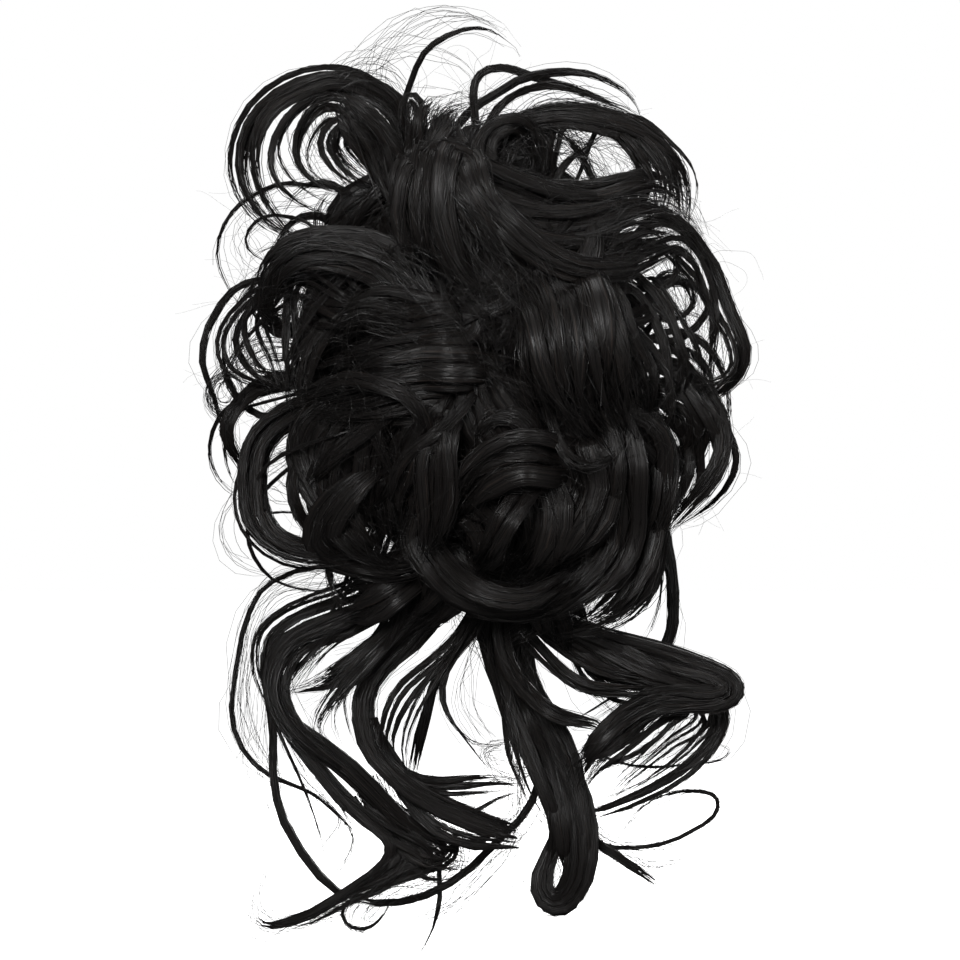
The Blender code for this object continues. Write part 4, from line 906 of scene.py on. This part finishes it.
        tendril(.014, [(.06, -1.2), (.11, -1.34), (.15, -1.46), (.185, -1.56), (.24, -1.66), (.29, -1.73)],
             loose=.4),
        tendril(.05, [(.06, -1), (.08, -1.2), (.11, -1.36), (.13, -1.47), (.17, -1.56), (.22, -1.62)],
             hairs=10, thick=.00014, loose=.9),
        tendril(.06, [(.2, -1.5), (.12, -1.5), (.06, -1.47), (.02, -1.43), (.08, -1.4), (.14, -1.42)],
             branch=1, hairs=18, thick=.00014, loose=1.2),
    ],
    "cross_strap": [
        tendril(.03, [(.12, -1), (.19, -1.2), (.24, -1.4), (.22, -1.56), (.15, -1.68), (.044, -1.78),
             (-.01, -1.836), (-.093, -1.9), (-.175, -1.945), (-.265, -1.972), (-.356, -1.98), (-.43, -1.97),
             (-.5, -1.95)], split=3, tight=.8, tip=.9, full=.93, ragged=.05),
        tendril(.012, [(.08, -1.7), (0, -1.76), (-.09, -1.77), (-.138, -1.845), (-.134, -1.91),
             (-.138, -1.98), (-.156, -2.054), (-.193, -2.136), (-.235, -2.19)], branch=1),
        tendril(.1, [(.16, -1.4), (.18, -1.6), (.15, -1.73), (.09, -1.81), (.02, -1.87), (-.08, -1.955),
             (-.21, -2.02), (-.33, -2.05)], branch=1, hairs=26, thick=.00014, loose=.9),
        tendril(.05, [(.28, -1.5), (.33, -1.75), (.28, -1.88), (.2, -1.918), (.107, -1.963), (-.03, -2.01),
             (-.165, -2.04)], branch=1, hairs=6, thick=.00013, loose=.6),
    ],
    "right_hook": [
        tendril(.07, [(.24, -.92), (.36, -1), (.48, -1.07), (.6, -1.13), (.72, -1.17), (.83, -1.19),
             (.9, -1.2)], full=.85),
        tendril(.07, [(.9, -1.2), (.8, -1.21), (.68, -1.22), (.58, -1.26), (.5, -1.32), (.43, -1.39),
             (.37, -1.47), (.33, -1.56)], branch=1, rootWidth=1, tip=.9, full=.85),
        tendril(.055, [(.22, -.9), (.34, -.97), (.46, -1.02), (.58, -1.055), (.7, -1.09), (.8, -1.12),
             (.88, -1.15), (.925, -1.185), (.92, -1.225), (.865, -1.245), (.76, -1.245), (.65, -1.25),
             (.56, -1.29), (.48, -1.35), (.42, -1.42), (.38, -1.5), (.355, -1.58)], tip=.8, loose=.3,
             full=.85, strays=.03, rings=120),
        tendril(.045, [(.26, -.93), (.4, -1), (.54, -1.06), (.68, -1.11), (.79, -1.14), (.87, -1.165),
             (.9, -1.195), (.86, -1.215), (.76, -1.215), (.65, -1.215), (.57, -1.25), (.5, -1.31),
             (.45, -1.37), (.41, -1.44)], tip=.8, full=.85),
        tendril(.04, [(.3, -.92), (.44, -.985), (.58, -1.02), (.71, -1.055), (.82, -1.095), (.9, -1.13),
             (.945, -1.17), (.952, -1.21), (.92, -1.25), (.86, -1.27), (.76, -1.275), (.66, -1.29),
             (.58, -1.33), (.51, -1.4), (.46, -1.46), (.4, -1.53)], tight=.8),
        tendril(.045, [(.14, -.94), (.22, -1.05), (.29, -1.12), (.35, -1.165), (.43, -1.195), (.53, -1.2),
             (.64, -1.2), (.74, -1.205), (.84, -1.2)], full=.8),
        tendril(.035, [(.2, -.94), (.28, -1.02), (.35, -1.07), (.42, -1.11), (.52, -1.145), (.64, -1.165),
             (.76, -1.175)]),
        tendril(.05, [(.12, -1.12), (.19, -1.21), (.27, -1.275), (.36, -1.305), (.45, -1.335), (.46, -1.4),
             (.42, -1.47)], full=.85),
        tendril(.07, [(.74, -1.23), (.64, -1.26), (.57, -1.32), (.5, -1.38), (.43, -1.42), (.36, -1.45),
             (.32, -1.5)], branch=1, loose=.5),
        tendril(.1, [(.84, -1.24), (.7, -1.28), (.58, -1.36), (.5, -1.43), (.43, -1.49), (.38, -1.56)],
             branch=1, split=5, loose=.6, tight=.4),
        tendril(.05, [(.18, -1), (.19, -1.1), (.23, -1.18), (.24, -1.24)], hairs=10, thick=.00014,
             loose=.9),
        tendril(.06, [(.2, -.98), (.17, -1.08), (.165, -1.15), (.18, -1.22)], hairs=12, thick=.00015,
             loose=.9),
    ],
    "right_outer": [
        tendril(.05, [(.4, -1.1), (.62, -1.18), (.8, -1.22), (.885, -1.27), (.878, -1.345), (.835, -1.418),
             (.76, -1.49), (.679, -1.545), (.588, -1.59), (.497, -1.627), (.416, -1.65), (.34, -1.655)],
             split=5, tight=.8, tip=.9, full=.92, ragged=.06),
        tendril(.07, [(.46, -1.14), (.66, -1.2), (.82, -1.25), (.85, -1.31), (.8, -1.39), (.72, -1.46),
             (.63, -1.52), (.54, -1.57), (.46, -1.6)], split=6, fill=1.8, loose=.5, tight=.3, ragged=.1),
        tendril(.1, [(.44, -1.16), (.64, -1.22), (.8, -1.25), (.8, -1.3), (.72, -1.36), (.65, -1.42),
             (.58, -1.48), (.52, -1.53), (.48, -1.58)], split=8, fill=1.6, loose=.5, tight=.25, ragged=.1),
        tendril(.16, [(.6, -1.22), (.8, -1.27), (.8, -1.36), (.7, -1.45), (.6, -1.52), (.5, -1.6),
             (.44, -1.68)], hairs=26, thick=.00013, loose=.9),
    ],
    "right_inner": [
        tendril(.034, [(.34, -1.5), (.37, -1.6), (.4, -1.7), (.43, -1.755), (.48, -1.79), (.552, -1.836),
             (.624, -1.885), (.665, -1.913)], branch=1, tip=1.1, full=.95, ragged=.06),
        tendril(.014, [(.33, -1.54), (.4, -1.7), (.45, -1.755), (.56, -1.77), (.65, -1.76), (.742, -1.727),
             (.815, -1.686), (.865, -1.636), (.865, -1.595), (.815, -1.572), (.742, -1.572), (.66, -1.59),
             (.588, -1.636), (.543, -1.7), (.506, -1.754), (.47, -1.79)], branch=1),
        tendril(.01, [(.4, -1.36), (.46, -1.44), (.534, -1.468), (.606, -1.48), (.697, -1.477),
             (.833, -1.463), (.897, -1.445), (.915, -1.418), (.887, -1.4), (.82, -1.405)], branch=1),
        tendril(.08, [(.36, -1.6), (.42, -1.73), (.5, -1.775), (.606, -1.8), (.697, -1.804), (.79, -1.8)],
             branch=1, hairs=30, thick=.00015, loose=.7),
        tendril(.06, [(.36, -1.62), (.42, -1.72), (.5, -1.7), (.6, -1.64), (.7, -1.6), (.8, -1.575),
             (.88, -1.6), (.86, -1.66)], branch=1, hairs=9, thick=.00013, loose=1),
    ],
    "right_fall": [
        tendril(.042, [(.62, .02), (.635, -.145), (.64, -.266), (.65, -.42), (.667, -.567), (.68, -.658),
             (.7, -.748), (.708, -.82), (.711, -.91), (.706, -.98), (.683, -1.045), (.642, -1.11),
             (.588, -1.16), (.515, -1.215), (.425, -1.275), (.352, -1.32), (.28, -1.37)], tip=1.2),
        tendril(.01, [(.64, -.62), (.665, -.79), (.66, -.873), (.642, -.945), (.615, -1.01), (.57, -1.08)]),
    ],
}


def bunPiece(name, locks):
    # the hairs of some of the bun's locks, as one mesh
    groups = [group for lock in locks for group in lockHairs(lock, bunLine(lock))]
    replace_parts(hairMesh(name, groups, fibre), "bun_curls")


def tailPiece(name, locks):
    # the hairs of one node's locks. Deep is their y, from root to tip, about the middle of its box.
    low, high = (np.array(corner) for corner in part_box("tendril_" + name))
    level, sway = (low[1] + high[1]) / 2, (high[1] - low[1]) / 4
    for lock in locks:
        lock["deep"] = (level, level + sway, level - sway, level + sway / 2)
    title = "tail" + "".join(word.capitalize() for word in name.split("_"))
    groups = [group for lock in locks for group in lockHairs(lock, tailLine(lock))]
    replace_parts(hairMesh(title, groups, fibre), "tendril_" + name)


bunPiece("curlsUpperLeft", upperLeft)
bunPiece("curlsLeft", left)
bunPiece("curlsLowerLeft", lowerLeft)
bunPiece("curlsUpperRight", upperRight)
bunPiece("curlsRight", right)
bunPiece("curlsFront", front)
bunPiece("curlsMiddle", middle)
bunPiece("curlsLower", lower)
for name, locks in tail.items():
    tailPiece(name, locks)

# Curls that turn back over the rim round its upper side. First to last is where they leave it, and lead
# how far their middles go on, in degrees. Across, up and size are in reaches.
behind = {"count": 11, "first": 20, "last": 194, "lead": 16, "across": 0.47, "up": 0.57, "size": 0.11,
          "start": -60, "sweep": 200, "width": 0.10, "out": (0.30, 0.20, 0.06, -0.06), "loose": 0.5}


def curlsBehind():
    # each curl's way is an arc whose centre leads its root round the rim, away from the top
    locks = []
    for turn in np.linspace(behind["first"], behind["last"], behind["count"]):
        side = -1 if turn < 90 else 1
        ahead = np.radians(turn + behind["lead"] * side)
        course = np.radians(turn + side * (behind["start"] + behind["sweep"] * np.linspace(0, 1, 9)))
        size = behind["size"] * random.uniform(0.85, 1.2)
        centre = np.array([behind["across"] * np.cos(ahead), behind["up"] * np.sin(ahead)])
        way = centre + size * np.stack([np.cos(course), np.sin(course)], axis=1)
        locks.append(curl(behind["width"], behind["out"], way, loose=behind["loose"]))
    bunPiece("curlsBehind", locks)


# Locks that wind round the core's side, from its front towards its back, in both senses. Rise is how
# far they stand off at most, in the core's own half sizes, more above and below than at the sides.
sideCurls = {"count": 18, "sweep": 62, "width": 0.10, "away": 1.05, "rise": 0.04, "riseUp": 0.12,
             "out": (0.45, 0.42, 0.30, 0.14, 0.0), "loose": 0.6, "fill": 1.3}


def curlsAround():
    # each way is an arc of the core's oval, drawn out in its middle
    locks = []
    for index in range(sideCurls["count"]):
        side = 1 if index % 2 else -1
        start = 360 * (index + random.uniform(-0.3, 0.3)) / sideCurls["count"]
        share = np.linspace(0, 1, 9)
        turn = np.radians(start + side * sideCurls["sweep"] * random.uniform(0.7, 1.3) * share)
        rise = (sideCurls["rise"] + sideCurls["riseUp"] * np.abs(np.sin(turn))) * np.sin(np.pi * share)
        away = sideCurls["away"] + rise * random.uniform(0.6, 1.1)
        across, up = coreHigh[0] * np.cos(turn) * away, coreHigh[2] * np.sin(turn) * away
        way = np.stack([across, up], axis=1) / reach
        locks.append(curl(sideCurls["width"], sideCurls["out"], way,
                          loose=sideCurls["loose"], fill=sideCurls["fill"]))
    bunPiece("curlsAround", locks)


# Thin strands that loop out and back through the openings at both sides of the bun. Across and up are
# where their middles lie, in reaches, and spread is how far from level they get, in degrees.
thinLoops = {"count": 40, "across": 0.74, "up": 0.66, "spread": 50, "size": 0.14, "sweep": 215,
             "width": 0.024, "out": (0.50, 0.42, 0.40, 0.44), "loose": 0.5}


def curlsThin():
    # each way is an arc that starts from the side of its centre that faces the bun
    locks = []
    for index in range(thinLoops["count"]):
        side = 1 if index % 2 else -1
        turn = np.radians(random.uniform(-1, 1) * thinLoops["spread"])
        centre = np.array([side * thinLoops["across"] * np.cos(turn), thinLoops["up"] * np.sin(turn)])
        first = np.arctan2(-centre[1], -centre[0]) + random.uniform(-0.7, 0.7)
        sweep = np.radians(thinLoops["sweep"]) * random.uniform(0.7, 1.1) * random.choice((-1, 1))
        course = first + sweep * np.linspace(0, 1, 10)
        size = thinLoops["size"] * random.uniform(0.5, 1.4)
        way = centre + size * np.stack([np.cos(course), random.uniform(0.8, 1.5) * np.sin(course)], axis=1)
        locks.append(curl(thinLoops["width"], thinLoops["out"], way, loose=thinLoops["loose"]))
    bunPiece("curlsThin", locks)


# Strands that cross the see-through places at the bun's upper right and left
crossing = [
    curl(.08, (.56, .52, .5), [(.04, .82), (.12, .86), (.19, .82), (.215, .74), (.2, .65), (.19, .56)],
         split=4, tight=.7, loose=.6, fill=1.6),
    curl(.024, (.5, .48, .5), [(.44, .56), (.425, .63), (.4, .7), (.36, .77), (.3, .83), (.22, .87)],
         loose=.6),
    curl(.018, (.54, .52), [(.24, .56), (.265, .62), (.275, .7), (.255, .78), (.2, .85)], loose=.6),
    curl(.018, (.5, .52), [(.27, .6), (.29, .67), (.34, .74), (.42, .8), (.5, .84)], loose=.6),
    curl(.036, (.46, .44), [(.56, .56), (.6, .62), (.595, .7), (.54, .78), (.44, .84), (.32, .85)],
         loose=.5),
    curl(.022, (.46, .44), [(-.7, .3), (-.79, .25), (-.845, .17), (-.84, .07), (-.79, -.02), (-.72, -.09),
         (-.64, -.15)], loose=.6),
    curl(.018, (.48, .44), [(-.62, .22), (-.71, .19), (-.8, .12), (-.87, .03), (-.91, -.05), (-.92, -.13)],
         loose=.6),
]

# Wefts gathered over the core from the elastic, and the same inside the hollow. A row of the course
# holds how far its ring is from the mouth's circle towards the core's oval, its size in the two, and its
# y in metres. Swirl is how far a weft turns on its way, in radians.
wefts = {
    "count": 28, "width": 0.15, "swirl": 0.7, "hairs": 9, "clumps": 7, "flat": 0.12,
    "course": [(0, 0.985, 0.0035), (0, 1.03, 0.0074), (0.5, 1.0, 0.0082), (0.93, 1.0, 0.0078),
               (1, 1.022, 0.0030), (1, 1.024, -0.0120), (1, 1.027, -0.0280), (1, 0.99, -0.0430),
               (1, 0.80, -0.0545), (1, 0.50, -0.0620)],
}
lining = {"count": 22, "width": 0.11, "swirl": 0.5, "hairs": 5, "clumps": 5, "flat": 0.08,
          "course": [(0, 0.975, 0.0050), (0, 0.975, -0.0100), (0, 0.975, -0.0300), (0, 0.86, -0.0440),
                     (0, 0.60, -0.0525), (0, 0.25, -0.0565)]}


def gathered(name, field, facing):
    # locks side by side round the core, each with the same course, which turns as it goes
    mix, scale, y = np.array(field["course"]).T
    mouth = loopHigh[0] + 0.0003  # just outside the elastic
    across = (mouth + (coreHigh[0] - mouth) * mix) * scale
    up = (mouth + (coreHigh[2] - mouth) * mix) * scale
    groups = []
    for index in range(field["count"]):
        start = 2 * np.pi * (index + random.uniform(-0.3, 0.3)) / field["count"]
        turn = start + field["swirl"] * np.linspace(0, 1, len(y)) ** 1.5 * random.uniform(0.6, 1.2)
        ring = np.stack([across * np.cos(turn), y, up * np.sin(turn)], axis=1)
        spine = softened(splineThrough(ring, 140), 3)
        lock = {"width": field["width"], "hairs": field["hairs"], "clumps": field["clumps"], "tip": 0.8,
                "flat": field["flat"], "rings": 34, "strays": 0.12, "loose": 0.5, "ragged": 0.3}
        groups += lockHairs(lock, spine, facing * (spine - (0, -0.015, 0)))
    return hairMesh(name, groups, fibre)


def strandMesh(name, x, y, z, share, thick):
    # single hairs through the given places, thinner towards their tips
    places = np.stack([x, y, z], axis=-1)
    along = unit(np.gradient(places, axis=1))
    outward = unit(np.array([0.0, -1.0, 0.0]) - along * -along[..., 1:2])
    group = {"places": places, "across": np.cross(along, outward), "outward": outward, "share": share,
             "radius": thick / 2 * (1 - 0.6 * share), "sides": 3, "streaks": hairLook["hairStreaks"],
             "number": 0}
    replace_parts(hairMesh(name, [group], fibre), "bun_curls")


# Fine hairs that stand off. Length is in metres, and turn is how far one bends on its way, in radians.
flyaways = {"count": 360, "shortest": 0.010, "longest": 0.034, "turn": 4.0, "thick": 0.00010,
            "rings": 20}


def looseHairs():
    # from round the bun, each first slantwise outwards and then turning, by adding up short steps
    count, rings = flyaways["count"], flyaways["rings"]
    place = random.uniform(0, 2 * np.pi, count)
    size = random.uniform(0.65, 0.97, count)
    share = np.repeat(np.linspace(0, 1, rings + 1)[None], count, axis=0)
    side = random.choice((-1, 1), count)
    heading = (place + side * random.normal(1.1, 0.5, count))[:, None]
    heading = (heading + flyaways["turn"] * random.normal(0, 0.6, count)[:, None] * share
               + 0.3 * swing(courses(count), share))
    step = (random.uniform(flyaways["shortest"], flyaways["longest"], count) / rings)[:, None]
    x = np.cumsum(step * np.cos(heading), axis=1) + (0.88 * reach * size * np.cos(place))[:, None]
    z = np.cumsum(step * np.sin(heading), axis=1) + (0.92 * reach * size * np.sin(place))[:, None] + 0.006
    y = -random.uniform(0.05, 0.75, count)[:, None] * bunDepth + 0.004 * swing(courses(count, 2), share)
    strandMesh("looseHairs", x, y, z, share, flyaways["thick"])


# Fine hairs that lie over the front curls. Spread is how far from the middle they start, in reaches.
frizz = {"count": 520, "shortest": 0.014, "longest": 0.040, "turn": 2.6, "thick": 0.00011, "rings": 16,
         "spread": 0.72, "out": 1.0, "fall": 0.5}


def frizzHairs():
    # each turns as it goes, at the front curls' depth, which falls with the square of the distance
    # from the middle
    count, rings = frizz["count"], frizz["rings"]
    place, away = random.uniform(0, 2 * np.pi, count), frizz["spread"] * np.sqrt(random.uniform(0, 1, count))
    share = np.repeat(np.linspace(0, 1, rings + 1)[None], count, axis=0)
    heading = (place + random.choice((-1, 1), count) * random.normal(1.3, 0.6, count))[:, None]
    heading = (heading + frizz["turn"] * random.normal(0, 0.6, count)[:, None] * share
               + 0.3 * swing(courses(count), share))
    step = (random.uniform(frizz["shortest"], frizz["longest"], count) / rings)[:, None]
    x = np.cumsum(step * np.cos(heading), axis=1) + (reach * away * np.cos(place))[:, None]
    z = np.cumsum(step * np.sin(heading), axis=1) + (reach * away * np.sin(place))[:, None] - 0.004
    out = frizz["out"] - frizz["fall"] * (x ** 2 + z ** 2) / reach ** 2 + 0.03 * swing(courses(count), share)
    strandMesh("frizz", x, -out * bunDepth, z, share, frizz["thick"])


# Turns and strands are the ridges of the braid along the whole loop and round its cord. Relief is a share
# of the cord's radius, and steps and sides are the grid's.
band = {"turns": 96, "strands": 6, "relief": 0.05, "steps": 384, "sides": 24}


def elasticFinish():
    # black thread, a little paler where the braid stands out
    made, nodes, links, shader = shaderOf("blackBraid", 0.75, 0.3)
    place = nodes.new("ShaderNodeTexCoord")
    grain = nodes.new("ShaderNodeTexNoise")
    grain.inputs["Scale"].default_value = 2600
    grain.inputs["Detail"].default_value = 3
    links.new(place.outputs["Object"], grain.inputs["Vector"])
    tint = ramp(nodes, [(0.3, (0.006, 0.006, 0.006)), (0.75, (0.020, 0.019, 0.019))])
    links.new(grain.outputs["Fac"], tint.inputs["Fac"])
    links.new(tint.outputs["Color"], shader.inputs["Base Color"])
    bump = nodes.new("ShaderNodeBump")
    bump.inputs["Distance"].default_value = 0.0001
    links.new(grain.outputs["Fac"], bump.inputs["Height"])
    links.new(bump.outputs["Normal"], shader.inputs["Normal"])
    return made


def braidedElastic():
    # a torus whose surface rises where two sets of threads wind round it in opposite senses
    thick = loopHigh[1]
    along = 2 * np.pi * np.arange(band["steps"])[:, None] / band["steps"]
    around = -2 * np.pi * np.arange(band["sides"])[None] / band["sides"]
    there = np.cos(band["turns"] / 2 * along + band["strands"] / 2 * around)
    back = np.cos(band["turns"] / 2 * along - band["strands"] / 2 * around)
    size = thick * (1 - band["relief"] + band["relief"] * np.maximum(np.abs(there), np.abs(back)))
    away = loopHigh[0] - thick + size * np.cos(around)
    points = np.stack([away * np.cos(along), size * np.sin(around), away * np.sin(along)], axis=-1)
    number = np.arange(points.shape[0] * points.shape[1]).reshape(points.shape[:2])
    ahead, up = np.roll(number, -1, axis=0), np.roll(number, -1, axis=1)
    faces = np.stack([number, ahead, np.roll(ahead, -1, axis=1), up], axis=-1).reshape(-1, 4)
    mesh = bpy.data.meshes.new("braidedElastic")
    mesh.from_pydata(points.reshape(-1, 3).tolist(), [], faces.tolist())
    mesh.shade_smooth()
    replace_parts(newPiece("braidedElastic", mesh, elasticFinish()), "elastic_band")


curlsBehind()
curlsAround()
curlsThin()
gathered("coreWefts", wefts, 1)
gathered("hollowLining", lining, -1)
looseHairs()
frizzHairs()
bunPiece("curlsCrossing", crossing)
braidedElastic()

# The studio: a white floor that only the camera sees, a dim room and soft lamps. A lamp's row holds its
# place, its size and its power in watts, and all of them point at aim.
studio = {"floor": -0.26, "half": 6, "room": 0.13, "aim": (0, 0, -0.03), "lamps": {
    "keyLamp": ((-0.30, -1.40, 0.42), 0.40, 15), "fillLamp": ((1.0, -0.8, 0.30), 0.5, 4),
    "topLamp": ((0.0, -0.2, 1.3), 0.6, 7), "backLamp": ((0.6, 1.3, 0.5), 0.9, 26),
}}


def studioFloor():
    # a square whose light is its own, so that it stays white
    mesh = bpy.data.meshes.new("studioFloor")
    half, low = studio["half"], studio["floor"]
    corners = [(-half, -half, low), (half, -half, low), (half, half, low), (-half, half, low)]
    mesh.from_pydata(corners, [], [(0, 1, 2, 3)])
    floor = bpy.data.objects.new("studioFloor", mesh)
    bpy.context.scene.collection.objects.link(floor)
    made, _, _, shader = shaderOf("whitePaper", 0.9)
    shader.inputs["Base Color"].default_value = (0.9, 0.9, 0.9, 1)
    shader.inputs["Emission Color"].default_value = (1, 1, 1, 1)
    shader.inputs["Emission Strength"].default_value = 1.0
    mesh.materials.append(made)
    floor.visible_diffuse = floor.visible_glossy = floor.visible_shadow = False


def lamp(name, place, size, power):
    # a square lamp turned towards the aim
    light = bpy.data.lights.new(name, "AREA")
    light.shape, light.size, light.energy = "SQUARE", size, power
    made = bpy.data.objects.new(name, light)
    bpy.context.scene.collection.objects.link(made)
    made.location = place
    made.rotation_euler = (Vector(studio["aim"]) - Vector(place)).to_track_quat("-Z", "Y").to_euler()


def dimRoom():
    # white to the camera, and dim as a light
    world = bpy.data.worlds.new("room")
    world.use_nodes = True
    nodes, links = world.node_tree.nodes, world.node_tree.links
    nodes["Background"].inputs["Strength"].default_value = studio["room"]
    nodes["Background"].inputs["Color"].default_value = (1, 1, 1, 1)
    white = nodes.new("ShaderNodeBackground")
    white.inputs["Color"].default_value = (1, 1, 1, 1)
    path = nodes.new("ShaderNodeLightPath")
    mix = nodes.new("ShaderNodeMixShader")
    links.new(path.outputs["Is Camera Ray"], mix.inputs["Fac"])
    links.new(nodes["Background"].outputs[0], mix.inputs[1])
    links.new(white.outputs[0], mix.inputs[2])
    links.new(mix.outputs[0], nodes["World Output"].inputs["Surface"])
    bpy.context.scene.world = world


studioFloor()
for name, (place, size, power) in studio["lamps"].items():
    lamp(name, place, size, power)
dimRoom()
bpy.context.scene.view_settings.view_transform = "Standard"

camera = bpy.data.objects.new("camera", bpy.data.cameras.new("camera"))
camera.data.lens, camera.data.sensor_width = view["lens"], view["sensor"]
camera.location = (view["centre"][0], -view["distance"], view["centre"][1])
camera.rotation_euler = (np.pi / 2, 0, 0)
bpy.context.scene.collection.objects.link(camera)
bpy.context.scene.camera = camera
